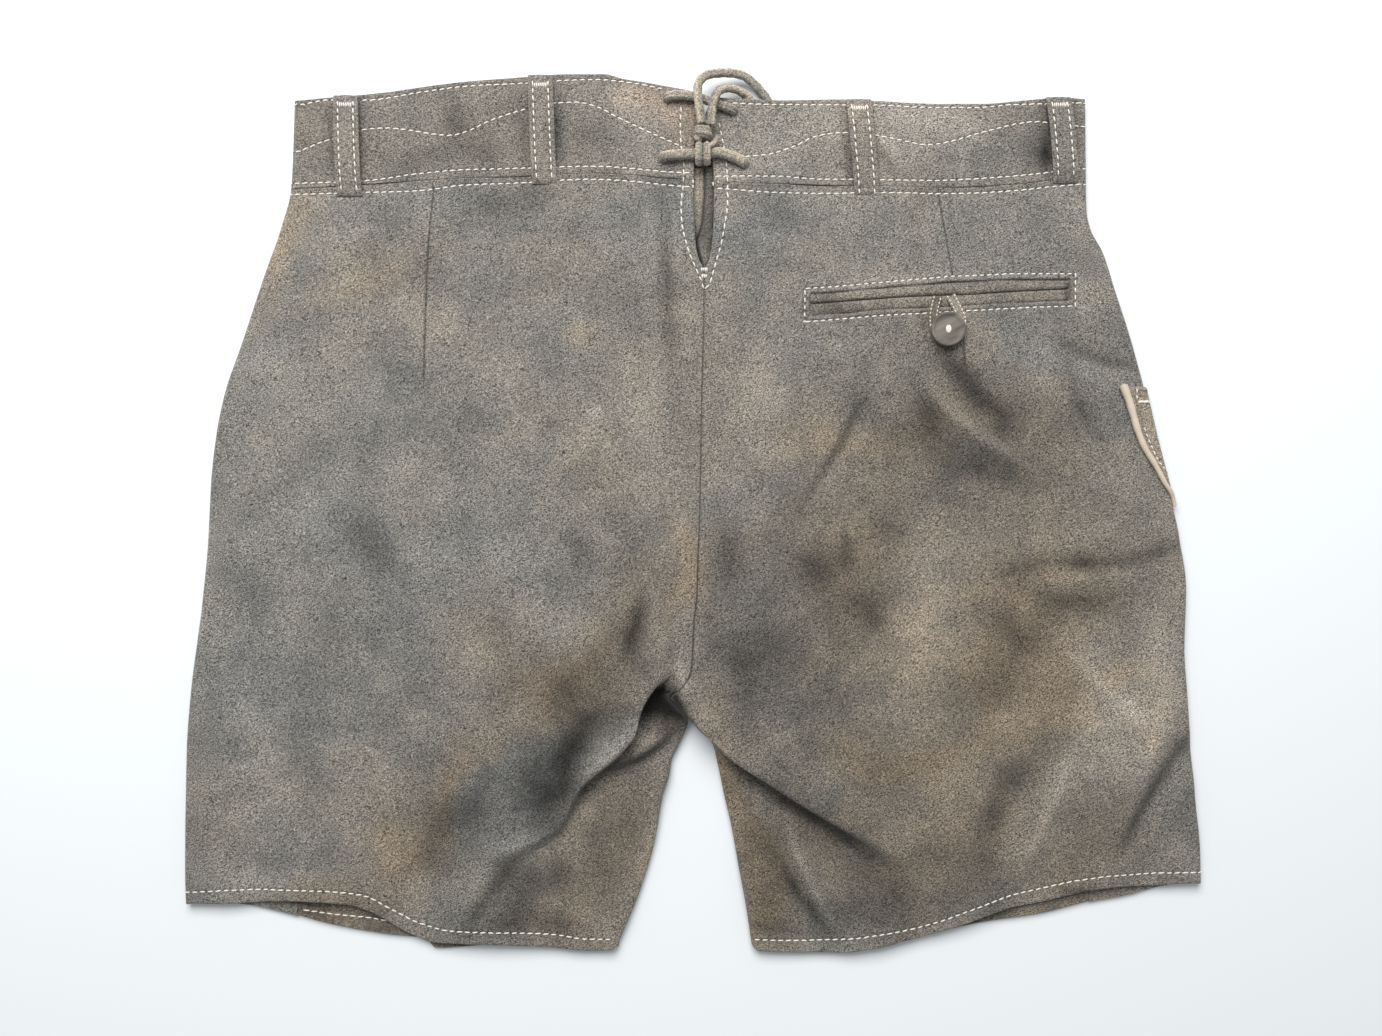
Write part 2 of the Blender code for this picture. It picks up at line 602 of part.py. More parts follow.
def belt_loop(number, row, finish):
    """A belt loop from the top of the waistband to just below its seam."""
    top_across, foot_across, foot = row
    half = LEFT if top_across < LACING_X else RIGHT
    top = float(half.waist(top_across)) - 0.4
    outer = []
    normals = []
    across = ((-0.5, 0.4), (-0.4, 0.0), (0.4, 0.0), (0.5, 0.4))
    for t in np.linspace(0, 1, 10):
        middle = top_across + (foot_across - top_across) * t
        y = top + (foot - top) * t
        slack = LOOP_ARCH * math.sin(math.pi * min(max((t - 0.06) / 0.84, 0), 1)) ** 0.6
        z = LIE_HEIGHT + BAND_PROUD + SEAM_GAP + LOOP_WALL + slack
        points = []
        for off, sink in across:
            x = middle + off * LOOP_WIDTH
            raised = float(back_height(x, y)) - LIE_HEIGHT
            points.append((x, y, z + raised - sink))
        outer.append(points)
        normals.append([np.array((0, 0, 1.0))] * len(points))
    walls = np.array([LOOP_WALL - sink for _, sink in across])
    return wall(f"belt_loop_{number}", np.array(outer), np.array(normals), walls, finish)


def welt(name, upper_edge, lower_edge, finish):
    """One lip of the pocket, in the window of the back panel, rounded along both edges."""
    outer = []
    across = ((0.0, 0.5), (0.15, 0.0), (0.85, 0.0), (1.0, 0.5))
    start = WINDOW_LEFT + SEAM_GAP
    end = WINDOW_RIGHT - SEAM_GAP
    for x in np.linspace(start, end, 15):
        high = upper_edge(x) - SEAM_GAP
        low = lower_edge(x) + SEAM_GAP
        points = []
        for f, sink in across:
            y = high + (low - high) * f
            points.append((x, y, float(back_height(x, y)) - WELT_SINK - sink))
        outer.append(points)
    outer = np.array(outer)
    normals = np.zeros(outer.shape)
    normals[..., 2] = 1
    return wall(name, outer, normals, np.array([WELT_WALL - sink for _, sink in across]), finish)


def pocket_strap(finish):
    """The strap that comes out of the pocket's mouth and loops round the button's shank."""
    path = curve_through([(x, y, 0) for x, y in STRAP_PATH], STRAP_POINTS)
    across_strap = ((-0.5, 0.4), (-0.3, 0.0), (0.3, 0.0), (0.5, 0.4))
    outer = []
    way = unit(np.gradient(path[:, :2], axis=0))
    for point, run in zip(path, way):
        across = np.array((-run[1], run[0]))
        points = []
        for off, sink in across_strap:
            x, y = point[:2] + across * off * STRAP_WIDTH
            points.append((x, y, LIE_HEIGHT + SEAM_GAP + STRAP_WALL - sink))
        outer.append(points)
    outer = np.array(outer)
    normals = np.zeros(outer.shape)
    normals[..., 2] = 1
    walls = np.array([STRAP_WALL - sink for _, sink in across_strap])
    return wall("pocket_strap", outer, normals, walls, finish)


def turned_body(name, centre, profile, sides, finish):
    """A closed body of revolution from (radius, height) rows that start and end on its axis."""
    points = []
    faces = []
    rings = []
    for radius, z in profile:
        if radius == 0:
            rings.append([len(points)] * sides)
            points.append((*centre, z))
            continue
        rings.append(list(range(len(points), len(points) + sides)))
        for angle in turn(sides):
            points.append((centre[0] + radius * math.cos(angle), centre[1] + radius * math.sin(angle), z))
    for first, second in zip(rings, rings[1:]):
        for i in range(sides):
            j = (i + 1) % sides
            faces.append(tuple(dict.fromkeys((first[i], first[j], second[j], second[i]))))
    return add_object(name, points, faces, finish)


def pocket_button(finish):
    """A turned horn button on its thread shank, as one body of revolution."""
    floor = LIE_HEIGHT + SEAM_GAP
    under = floor + STRAP_WALL + SEAM_GAP
    top = under + BUTTON_THICK
    profile = ((0, floor), (SHANK_RADIUS, floor), (SHANK_RADIUS, under), (BUTTON_RADIUS * 0.8, under),
               (BUTTON_RADIUS - 0.5, under + 0.9), (BUTTON_RADIUS, top - 1.0),
               (BUTTON_RADIUS - 0.7, top - 0.2), (BUTTON_RADIUS - 1.4, top), (BUTTON_RADIUS - 2.2, top - 0.5),
               (2.0, top - 1.0), (0, top - 1.0))
    return turned_body("pocket_button", BUTTON_AT, profile, 28, finish)


def fold_quarter(y):
    """Length of a quarter of the right side fold's outer face."""
    return (LIE_HEIGHT - float(pocket_lift(RIGHT.fold(y), y))) / 2 * math.pi / 2


def knife_point(y, reach, lift_off):
    """A point on the right side at a distance round the side fold, moved out by lift_off.

    The reach is 0 at the outermost line of the fold, negative on the back and positive underneath."""
    lift = float(pocket_lift(RIGHT.fold(y), y))
    radius = (LIE_HEIGHT - lift) / 2
    quarter = fold_quarter(y)
    middle = RIGHT.fold(y) - radius
    if reach < -quarter:
        x = middle + quarter + reach
        return np.array((x, y, float(back_height(x, y)) + lift_off)), np.array((0, 0, 1.0))
    if reach > quarter:
        x = middle - (reach - quarter)
        return np.array((x, y, lift - lift_off)), np.array((0, 0, -1.0))
    angle = -reach / radius
    way = np.array((math.cos(angle), 0, math.sin(angle)))
    return np.array((middle, y, lift + radius)) + way * (radius + lift_off), way


def knife_pocket(finish):
    """The knife pocket: a leather shield wrapped round the right side fold."""
    back_reach = smooth_line([(row[0], row[1]) for row in KNIFE_POCKET])
    under_reach = smooth_line([(row[0], row[2]) for row in KNIFE_POCKET])
    outer = []
    normals = []
    for y in np.linspace(KNIFE_POCKET[0][0], KNIFE_POCKET[-1][0], 15):
        points = []
        directions = []
        quarter = fold_quarter(y)
        low = -float(back_reach(y)) + PIPING_RADIUS + SEAM_GAP
        fold_start = max(low + 0.8, -quarter)
        stations = [*np.linspace(low, fold_start, POCKET_BACK_COLUMNS + 1)[:-1],
                    *np.linspace(fold_start, quarter, FOLD_STEPS + 1)[:-1],
                    *np.linspace(quarter, float(under_reach(y)), POCKET_UNDER_COLUMNS + 1)]
        for reach in stations:
            point, way = knife_point(y, reach, SEAM_GAP + POCKET_WALL)
            points.append(point)
            directions.append(way)
        outer.append(points)
        normals.append(directions)
    return wall("knife_pocket", np.array(outer), np.array(normals), POCKET_WALL, finish)


def knife_piping(finish):
    """The piping along the back edge of the knife pocket, down into the side fold."""
    back_reach = smooth_line([(row[0], row[1]) for row in KNIFE_POCKET])
    route = []
    for y in np.linspace(KNIFE_POCKET[0][0], PIPING_FOOT, 12):
        point, _ = knife_point(y, -float(back_reach(y)), SEAM_GAP + PIPING_RADIUS)
        route.append(point)
    return cord("knife_pocket_piping", route, PIPING_RADIUS, finish, 22)


def curve_through(points, count):
    """Evenly spaced points on a smooth curve through the given ones."""
    points = np.array(points, float)
    padded = np.concatenate([2 * points[:1] - points[1:2], points, 2 * points[-1:] - points[-2:-1]])
    dense = []
    for a, b, c, d in zip(padded, padded[1:], padded[2:], padded[3:]):
        for t in np.linspace(0, 1, 12, endpoint=False):
            dense.append(0.5 * (2 * b + (c - a) * t + (2 * a - 5 * b + 4 * c - d) * t**2
                                + (3 * b - a - 3 * c + d) * t**3))
    dense.append(points[-1])
    dense = np.array(dense)
    run = np.concatenate([[0], np.cumsum(np.linalg.norm(np.diff(dense, axis=0), axis=1))])
    at = np.linspace(0, run[-1], count)
    return np.stack([np.interp(at, run, dense[:, i]) for i in range(3)], -1)


def cord(name, route, radius, finish, count):
    """A round cord along a smooth curve through the route's points."""
    curve = bpy.data.curves.new(name, "CURVE")
    curve.dimensions = "3D"
    curve.bevel_depth = radius * MM
    curve.bevel_resolution = 2
    curve.use_fill_caps = True
    spline = curve.splines.new("POLY")
    path = curve_through(route, count)
    spline.points.add(len(path) - 1)
    for point, place in zip(spline.points, path):
        point.co = (*(place * MM), 1)
    curve.materials.append(finish)
    made = bpy.data.objects.new(name, curve)
    bpy.context.collection.objects.link(made)
    return made


def lace(finish):
    """The lace: two runs across the slit, the knot with its wraps, and two ends tucked behind the waist."""
    on_band = LIE_HEIGHT + BAND_PROUD + LACING_RISE + SEAM_GAP + LACE_RADIUS
    in_eyelet = on_band - 4.0
    (left_x, left_y), (right_x, right_y) = LOWER_EYELETS
    cord("lace_lower", ((left_x, left_y, in_eyelet), (left_x + 1.6, left_y + 0.3, on_band - 0.6),
                        (-8, 205.2, on_band + 0.3), (2, 205.7, on_band), (8, 206.0, on_band),
                        (15, 206.4, on_band + 0.3), (24, 203.7, on_band + 0.2),
                        (right_x - 1.6, right_y + 0.6, on_band - 0.9), (right_x, right_y, in_eyelet - 0.3)),
         LACE_RADIUS, finish, 18)
    (left_x, left_y), (right_x, right_y) = UPPER_EYELETS
    cord("lace_upper", ((left_x, left_y, in_eyelet), (left_x + 1.6, left_y, on_band - 0.6),
                        (-6, 239.2, on_band + 0.2), (4, 237.6, on_band), (14, 234, on_band),
                        (right_x - 1.8, right_y + 0.6, on_band - 0.8), (right_x, right_y, in_eyelet - 0.2)),
         LACE_RADIUS - 0.3, finish, 14)
    over = on_band + 2 * LACE_RADIUS
    for number, x in enumerate(WRAPS_ACROSS):
        cord(f"lace_wrap_{number + 1}",
             ((x, 209.6, over - 1.4), (x, 208.2, over - 0.1), (x, 205.2, over + 0.4),
              (x, 201.8, over - 1.0), (x, 200.0, over - 4.2)), WRAP_RADIUS, finish, 9)
    cord("lace_end_outer", ((5.2, 221.8, over), (4.2, 227.2, over + 1.0), (3.2, 235.2, over + 1.2),
                            (3.2, 244, over - 1.4), (7.0, 249.6, 12.6), (13, 252.2, 10.0),
                            (22, 253.4, 7.4), (29, 252.6, 5.6), (34, 249.6, 4.4), (38.5, 245.6, 3.4),
                            (42, 241.6, 2.8), (44.5, 237.4, 2.7), (46, 233.6, 2.7)),
         LACE_RADIUS, finish, 26)
    cord("lace_end_inner", ((10.6, 221.2, over - 0.6), (10.9, 225.6, over + 0.6), (11.4, 232.2, over + 0.9),
                            (14, 239.4, over - 1.4), (18.4, 243.6, 10.4), (23.4, 244.6, 7.2),
                            (28.5, 243.4, 4.8), (32.6, 240.6, 3.2), (35.6, 236.8, 2.7), (37.2, 233, 2.7)),
         LACE_RADIUS, finish, 20)
    knot(finish, over - 0.4)


def knot(finish, height):
    """The knot's ball."""
    across, up = KNOT_SIZES
    polars = np.linspace(0, math.pi, 9)
    profile = [(across * math.sin(polar), height + up * math.cos(polar)) for polar in polars]
    profile[0] = (0, height + up)
    profile[-1] = (0, height - up)
    return turned_body("lace_knot", KNOT_AT, profile, 14, finish)


def clear_scene():
    for obj in list(bpy.data.objects):
        bpy.data.objects.remove(obj, do_unlink=True)


LEFT = Half(-1)
RIGHT = Half(1)


def main():
    clear_scene()
    suede = material("suede_grey", SUEDE_GREY, 0.95)
    suede_brown = material("suede_brown", SUEDE_BROWN, 0.95)
    suede_tan = material("suede_tan", SUEDE_TAN, 0.9)
    piping = material("piping_cream", PIPING_CREAM, 0.8)
    horn = material("horn_grey", HORN_GREY, 0.4)
    for half in (LEFT, RIGHT):
        back = back_panel(half, suede)
        front_panel(half, suede)
        waistband(half, suede)
        if half is RIGHT:
            top = smooth_line(WINDOW_TOP)
            foot = smooth_line(WINDOW_FOOT)
            across = np.linspace(WINDOW_LEFT, WINDOW_RIGHT, 9)
            outline = [(x, float(foot(x))) for x in across] + [(x, float(top(x))) for x in across[::-1]]
            cut(back, prism("window_cutter", outline, 3.5, 12, suede))
    front_flap(suede)
    slit_gusset(suede_tan)
    for number, row in enumerate(BELT_LOOPS):
        belt_loop(number + 1, row, suede)
    mouth = smooth_line(WINDOW_MOUTH)
    welt("pocket_welt_upper", smooth_line(WINDOW_TOP), mouth, suede_brown)
    welt("pocket_welt_lower", mouth, smooth_line(WINDOW_FOOT), suede_brown)
    pocket_strap(suede_tan)
    pocket_button(horn)
    knife_pocket(suede_brown)
    knife_piping(piping)
    lace(suede)


main()
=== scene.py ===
"""Short suede lederhosen, laid out flat on their front with the back upwards: the finished look.

Sizes are in millimetres, as in the CAD source, and MM turns them into metres. X runs across the garment, Y from
the hems up to the waist, and Z up from the surface it lies on.
"""

import math

import bmesh
import bpy
import numpy as np
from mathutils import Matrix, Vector


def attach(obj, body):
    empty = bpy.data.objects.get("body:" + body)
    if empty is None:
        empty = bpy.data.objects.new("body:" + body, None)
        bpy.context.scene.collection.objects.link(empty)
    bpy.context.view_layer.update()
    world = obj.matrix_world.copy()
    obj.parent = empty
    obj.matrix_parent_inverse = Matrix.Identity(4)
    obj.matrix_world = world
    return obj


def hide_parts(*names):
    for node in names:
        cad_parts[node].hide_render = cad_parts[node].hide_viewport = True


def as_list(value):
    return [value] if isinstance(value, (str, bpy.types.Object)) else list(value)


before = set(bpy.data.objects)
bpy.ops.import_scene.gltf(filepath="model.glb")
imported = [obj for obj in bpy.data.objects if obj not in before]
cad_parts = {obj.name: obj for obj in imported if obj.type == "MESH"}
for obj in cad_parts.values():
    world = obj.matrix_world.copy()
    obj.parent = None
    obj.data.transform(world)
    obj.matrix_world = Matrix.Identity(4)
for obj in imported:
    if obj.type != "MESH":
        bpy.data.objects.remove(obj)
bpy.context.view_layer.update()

MM = 0.001


def rows(text):
    """A table of numbers, with commas inside its rows and blanks between them."""
    return np.array([row.split(",") for row in text.split()], float)


def tables(**texts):
    return {name: rows(text) for name, text in texts.items()}


# Leather and how it lies
LEATHER = 1.4          # one layer of suede
BAND_WALL = 2.2        # waistband: suede folded over a stay
SEAM_GAP = 0.3         # between pieces that are sewn edge to edge
LIE_HEIGHT = 6.0       # outer face of the back above the surface
BAND_HEIGHT = 6.6      # outer face of the waistband
BAND_RADIUS = BAND_HEIGHT / 2
BAND_DEPTH = 49.0
LOWEST = 3.1           # outer face of the back where a trough meets the front panel under it
SIDE_WRAP = 64.0       # the back panels reach this far round under the garment to the side seams
HEM_TURN = 9.0         # depth of the turned hem
HEM_EXTRA = 0.8        # extra thickness of the turned hem
LEG_ROLL = 4.0         # width over which the inner leg edge rolls down to the inseam
INSEAM_HEIGHT = 3.0
CROTCH_HEIGHT = 8.0
LACING_RISE = 2.4
LACING_X = 6.0
CENTRE_FRONT = 4.0
FRONT_WAIST_DROP = 10.0
BACK_OPEN = 0.02       # half the width left open along the centre back
WAIST_UP = 191.0       # where the length of a back panel is taken: at its top,
HEM_UP = -246.0        # and at its hem
FRONT_LONG = 270.0     # length of a front panel below the flap
POCKET_SINK = 2.4      # the panel under the pocket's lips
FLAP_HALF = 80.0       # the drop front, on the underside
FLAP_BASE = 20.0
FLAP_STEP = 16.0

# Edges of the two halves. fold, slit and inseam: (up, across). waist, band_seam, hem and under_hem, which is the
# hem of the layer under the back: (across, up)
EDGES = tables(
    left_fold="""240,-229.5 190,-231.5 164,-238 140,-246.5 95,-261.5 72,-269.5 49,-274.5 25,-277.5 -20,-280
        -66,-285 -101,-289.5 -135,-292 -204,-293 -225,-292.5""",
    right_fold="""240,226.5 195,227 175,227.5 164,230 152,236.5 129,244 106,251.5 83,258 60,263 37,268.5
        14,274.5 -9,280 -43,285 -78,284 -101,285.5 -158,289.5 -193,293 -213,293.5""",
    left_slit="246,6 228,6 222,4 215,1.5 199,1 184,.5 169,1 154,2 146,4 141,6.4",
    right_slit="240,11 231.5,8 227,6.6 220,8 209.5,10.5 199,11.7 184,12.3 162,11.7 149,10 143,8 141,6.8",
    left_inseam="-119,-2.6 -128,-5.5 -135,-9 -141,-12 -149,-13 -162,-17 -187,-21.5 -216,-30 -247,-42.5",
    right_inseam="-124,3.7 -130,10.5 -145,14.7 -164,18.7 -178,22 -204,26.7 -229,31.3 -249,34.2",
    left_waist="-230,238 -189,242 -143,247.5 -97,252 -74,253.3 -51,253.3 -40,250.5 -28,248.5 -5,244 6,241.5",
    right_waist="11,239.5 22,239 52,238 86,239 110,238 144,236.6 167,236.6 190,238.3 213,240 227,239",
    left_band_seam="-232,187 -219,187.7 -158,191.8 -97,194.6 -55,195.8 -5,192.3 1,191.8",
    right_band_seam="12,190 50,190 92,189 138,188 181,189.5 206,192.3 227,194.6",
    left_hem="""-292,-224.3 -269,-224.3 -233,-222.8 -215,-223.4 -196,-225.1 -185,-229 -174,-235.5 -160,-243.5
        -149,-247 -123,-247.5 -86,-249.3 -59,-251.6 -46,-251 -42.5,-247""",
    right_hem="""34.2,-248.7 37.7,-251.6 63.5,-252.7 84,-252.7 103,-250.4 127,-244.7 153,-237.2 183,-226.8
        202,-223.4 228,-216.5 252,-214.2 268,-214.2 281,-213 293.5,-212.5""",
    left_under_hem="""-292,-224.5 -264,-225.1 -227,-232.6 -215,-236 -196,-240 -178,-243 -153,-246.4 -149,-251.2
        -132,-250.4 -108,-248.1 -86,-247.5 -59,-249.8 -46,-249.3""",
    right_under_hem="""34.2,-247 37.7,-249.8 63.5,-251 84,-251 103,-249.3 127,-245.2 143,-241.8 169,-236
        202,-231 230,-224 252,-219.9 269,-215.3 281,-213.6 293.5,-213""",
)
# Centre back, from the lacing slit down to the crotch: (up, across)
BACK_SEAM = rows("""137,6.6 128,6.6 68,5.4 8,4.4 -26,3.2 -48,2.6 -61,1 -75,.3 -88,-.5 -93,-2 -99,-6.5
    -104,-12.4 -108,-9 -114,-3.7""")

# Gusset behind the lacing slit: its fold and its half width (up, across), and its section (share across, height)
GUSSET_FOLD = rows("200,7.1 184.7,7.1 177.8,6.6 169.3,6 161.7,4.3 156.3,2.9 151,3.9 144.8,5.4 132,5.6")
GUSSET_HALF_WIDTH = rows("200,15 170,14 150,9 132,2.5")
GUSSET_SECTION = rows("-1,3.6 -.5,3.8 -.2,3.9 -.06,3.6 0,3.4 .03,4.7 .1,5 .5,4.7 1,4.2")

# Big folds of the back: (across, up, height of the crest, how far the crest leans over its steep side)
LEFT_RIDGE = rows("""4,-82,0,0 -6,-87,4,0 -14,-91,12,3 -22,-98,18,9 -29,-109,19,11 -34,-125,17,8 -45,-137,15,6
    -57,-147,13,6 -67,-157,11,6 -76,-175,8,4 -86,-183,7,3 -106,-193,4,1.5 -126,-205,0,0""")
LOWER_RIDGE = rows("-12,-123,2,1 -23,-131,6,2 -36,-139,5,2 -56,-147,0,0")
RIGHT_CREASE = rows("""-12,-103,9,0 -3.7,-113,11,1 3.7,-123,12,3 10.5,-130,12,4 26,-142,10,5 43,-153,8,5
    57,-162,6.5,4.5 75,-173,5,4 110,-193,2.5,2 129,-205,0,0""")
LEAN_WIDTH = 11.0      # of the soft slope that leans with a crest

# Creases of the back: start, middle and end (across, up), then half width and depth, ridges above 0
CREASES = rows("""-20,-34,-26,-56,-34,-88,4.8,-2.6 -30,-58,-34,-74,-37,-90,5,-2.4
    -52,-112,-70,-140,-84,-174,8,-5.4 -18,-44,-24,-66,-34,-96,4,2.6 -50,-62,-34,-52,-20,-44,4,.8
    -24,-100,-16,-110,-8,-118,7,-2.6 -275,-54,-240,-130,-197,-205,8,-1.7 -281,-54,-274,-66,-264,-73,4,-1.4
    -172,-200,-152,-178,-134,-151,9,2.2 -165,-150,-142,-178,-122,-196,11,-2.7
    -122,-198,-100,-212,-76,-222,9,-3.1 -100,-160,-112,-178,-132,-200,6,1.4 -16,166,-17,130,-13,84,5,-1.2
    -262,40,-215,34,-165,40,11,-1 -120,150,-96,110,-88,70,14,1 -70,20,-62,-8,-66,-40,13,-1.2
    -255,-120,-238,-160,-240,-200,13,1.4 -46,30,-30,4,-22,-30,8,1 139,95,157,66,182,42,6,-3
    125,86,146,58,196,22,4,2.4 182,44,202,30,226,22,7,-1 113,104,119,92,127,78,2.2,-1.4
    119,106,126,95,133,84,2,-1.1 104,103,92,98,80,100,2.6,-.8 99,66,84,38,66,10,2.4,-2.2
    78,-2,74,-14,76,-26,2.4,-1.4 92,30,86,2,70,-18,2.2,-1.2 180,-36,205,-26,232,-29,4,-1.2
    222,-29,250,-27,279,-18,5,-2.2 184,-46,210,-50,240,-46,8,-.5 180,-20,225,-16,262,-8,9,1.5
    203,-137,178,-162,168,-204,9,-2.2 219,-138,205,-168,186,-210,6,2.6 290,-128,276,-148,252,-188,4.4,-2.6
    262,-116,264,-132,258,-150,6,1.4 290,-150,280,-162,268,-186,6,1.7 52,-176,66,-200,84,-228,7,2.9
    36,-182,46,-206,62,-234,7,-2 70,-190,88,-214,104,-236,7,-2 27,-144,25,-164,23,-172,1.6,-1.3
    34,-152,32,-174,36,-192,1.7,-1.3 38,-217,43,-224,50,-232,1.6,-1.1 208,102,232,90,256,84,7,-2.2
    219,72,228,54,239,36,5,-1.5 243,72,246,52,254,32,4,-1.5 196,120,206,96,204,72,12,1.2
    60,20,44,-20,40,-60,12,-1.4 112,-20,104,-60,108,-100,11,-1.4 140,-60,132,-100,120,-132,13,1.5
    172,-78,178,-104,168,-128,9,-1.5""")
# Painted shade and light along lines, where hollows, troughs and the shadow sides of folds are painted darker and
# lit crests lighter: the same columns, with the lightness last
PAINTED_SHADE_LINES = rows("""-30,-42,-32,-60,-40,-84,4.8,-.38 -25,-58,-26,-70,-28,-100,5,-.26
    -46,-64,-52,-82,-51,-106,10,-.3 8,-34,9,-66,6,-102,7,-.2 -14,-50,-20,-72,-30,-96,4,.16
    -30,-40,-44,-58,-62,-66,6,.06 -52,-108,-72,-136,-87,-174,8,-.5 -66,-110,-88,-138,-93,-170,12,-.3
    -14,-99,-8,-108,-3,-119,5,-.6 -64,-84,-72,-96,-78,-108,10,-.34 -30,-106,-52,-133,-67,-153,4.6,.34
    -66,-152,-80,-176,-122,-195,4.2,.36 -13,-94,-17,-108,-7,-119,9.5,-.88 -29,-100,-28,-111,-29,-120,5,-.65
    -14,-86,-6,-90,-3,-106,3.6,.5 -36,-119,-31,-126,-20,-126,3.4,.24 -8,-121,-30,-138,-60,-149,4.4,-.62
    -54,-148,-70,-167,-92,-185,5,-.52 -84,-188,-96,-208,-108,-240,15,-.4 -102,-196,-114,-214,-134,-242,4.5,-.4
    -120,-238,-96,-232,-70,-236,8,-.26 -128,-164,-146,-182,-142,-204,15,-.38
    -118,-152,-122,-166,-120,-178,9,-.26 -152,-216,-136,-214,-114,-200,9,.2 -60,-214,-50,-180,-38,-150,16,-.1
    -134,-152,-118,-134,-100,-112,6,.16 -17,188,-15,142,-11,80,4.5,-.34 -22,150,-24,110,-20,70,4,.12
    -126,180,-104,182,-78,186,7,-.26 -74,172,-70,164,-64,156,8,-.2 -190,-6,-180,-18,-168,-24,16,-.26
    -76,-8,-66,-16,-60,-24,8,-.26 -50,8,-45,0,-42,-8,7,-.2 -88,60,-80,54,-72,52,7,-.18
    -136,66,-130,58,-128,48,8,-.16 -70,122,-66,108,-64,94,3.5,.22 -60,64,-57,60,-52,56,4,.4
    -36,76,-26,44,-14,8,12,.18 -8,8,-6,-8,-7,-24,4,.2 -244,160,-236,148,-238,136,6,.2
    -60,-74,-88,-60,-84,-40,10,.14 142,99,160,74,186,50,7,-.6 124,90,147,61,200,22,2.6,.2
    132,70,136,57,142,44,9,-.5 138,42,160,28,200,18,10,-.26 133,126,133,112,134,100,3.5,-.34
    98,66,84,38,64,8,3,-.42 100,0,110,-8,124,-6,12,-.3 60,-20,70,-34,78,-44,10,-.34 86,-8,89,-20,90,-32,5,-.28
    90,-44,102,-56,110,-68,9,-.32 78,-60,86,-76,94,-86,8,-.26 20,-6,20,-26,20,-40,12,-.46
    18,-60,26,-90,34,-124,16,-.26 130,-14,138,-44,126,-78,14,.26 50,98,40,60,28,24,14,.16
    180,-36,205,-28,234,-29,4.4,-.44 222,-29,250,-27,282,-18,4.4,-.42 194,-44,224,-50,256,-46,8,-.28
    172,-56,184,-68,190,-84,11,-.52 60,-20,84,-44,100,-80,26,-.18 204,-136,178,-162,166,-208,9,-.44
    220,-134,206,-168,186,-212,3.8,.34 214,-76,238,-98,260,-116,5,.26 242,-106,250,-111,258,-116,6,.5
    258,-56,272,-90,262,-134,10,.2 228,-64,240,-110,230,-156,24,.26 288,-124,272,-146,244,-196,3.4,-.5
    272,-118,264,-134,252,-158,4,.26 20,-143,60,-169,120,-205,4.4,-.46 52,-172,62,-198,80,-234,3,.4
    44,-190,60,-216,80,-244,3.6,-.4 92,-190,106,-208,132,-222,10,-.22 28,-190,40,-216,54,-244,13,-.18
    212,-216,223,-218,234,-216,3.5,-.5 128,-98,150,-102,176,-94,14,-.2 206,103,230,91,258,84,3.2,-.34
    216,90,222,64,240,36,4,-.22 130,184,128,160,132,142,5,-.18 142,187,145,165,150,138,1.8,.18
    140,143,156,142,172,140,5,.14 50,174,62,168,78,166,9,-.22 46,148,58,144,72,144,7,-.16
    -262,-130,-246,-166,-228,-204,20,.12 62,118,84,118,108,119,4,-.3 70,130,140,137,214,137,2.2,.2
    216,136,216,129,216,122,2.4,-.55 -250,104,-236,66,-222,30,28,.14 -18,-166,-22,-184,-28,-202,6.5,.4
    -62,-230,-46,-238,-36,-242,6,.3 -78,-190,-77,-204,-76,-222,7,-.32 -282,-208,-240,-212,-204,-206,8,.24
    -160,-200,-142,-207,-126,-204,9,-.26 28,-234,56,-240,84,-242,6,-.28 28,-58,50,-76,68,-94,14,-.2
    222,-140,244,-150,262,-166,12,.16 152,-182,186,-190,218,-186,10,.2""")
# Creases of the waistband, painted shade and light along lines on it, such as the shadows beside the belt loops,
# and troughs of the underside, where it bridges over the surface
BAND_CREASES = rows("""204,214,202,205,200,196,4.5,-2.4 186,216,190,206,196,198,4,.8
    150,222,158,212,172,204,5,-.6 60,230,72,222,84,212,6,.6 -130,232,-112,228,-100,222,5,-.6
    -176,214,-164,206,-140,206,6,-.6 -60,222,-40,214,-20,208,6,.7 -92,246,-94,220,-92,198,3,-.8
    -208,236,-205,212,-204,194,3.5,-.9 -224,214,-216,210,-207,208,4,-.6""")
BAND_PAINTED_SHADE_LINES = rows("""-208,238,-207,214,-206,188,3,-.34 -190,242,-190,216,-189,188,2.6,-.34
    -98,236,-97,214,-96,192,6,-.3 -77,250,-77,220,-76,192,3,-.34 88,240,89,216,92,188,3.6,-.45
    104,214,110,206,117,195,3,-.36 107,220,116,210,122,200,3,.24 203,240,204,216,205,192,3.8,-.46
    188,218,197,210,206,198,8,-.24 74,242,110,236,160,234,10,.26 -46,248,-36,232,-28,214,9,.22
    12,232,46,222,88,230,18,.26 -138,236,-134,228,-126,222,9,-.22 -170,206,-160,202,-146,206,9,-.2
    -72,222,-60,218,-48,220,8,-.18 154,210,155,203,156,196,2.4,.22 161,212,161,204,161,196,2.4,-.18
    219,240,219,216,220,194,2.4,-.3 -20,240,-14,226,-16,214,6,.16 -146,234,-132,216,-100,198,9,-.26
    -34,206,0,200,60,198,9,.34 16,234,16,220,18,206,9,.26 60,212,120,220,176,218,16,.26
    112,234,131,226,150,224,10,.14 202,213,203,204,203,194,5,-.26""")
UNDER_CREASES = rows("""-210,60,-170,20,-150,-40,9,1.3 -120,110,-108,70,-112,24,7,.9
    -70,-40,-100,-90,-150,-120,11,1.7 -60,-170,-110,-190,-170,-184,8,1.1 -240,-60,-228,-100,-236,-150,9,1.2
    -250,130,-240,90,-246,50,7,.8 -40,160,-20,110,-34,60,9,.8 190,90,168,40,172,-20,10,1.4
    120,120,128,80,116,40,6,.8 60,-30,90,-80,130,-110,12,1.8 50,-150,92,-172,150,-168,8,1.2
    236,-40,230,-90,240,-140,8,1 30,170,44,120,30,76,8,.7""")
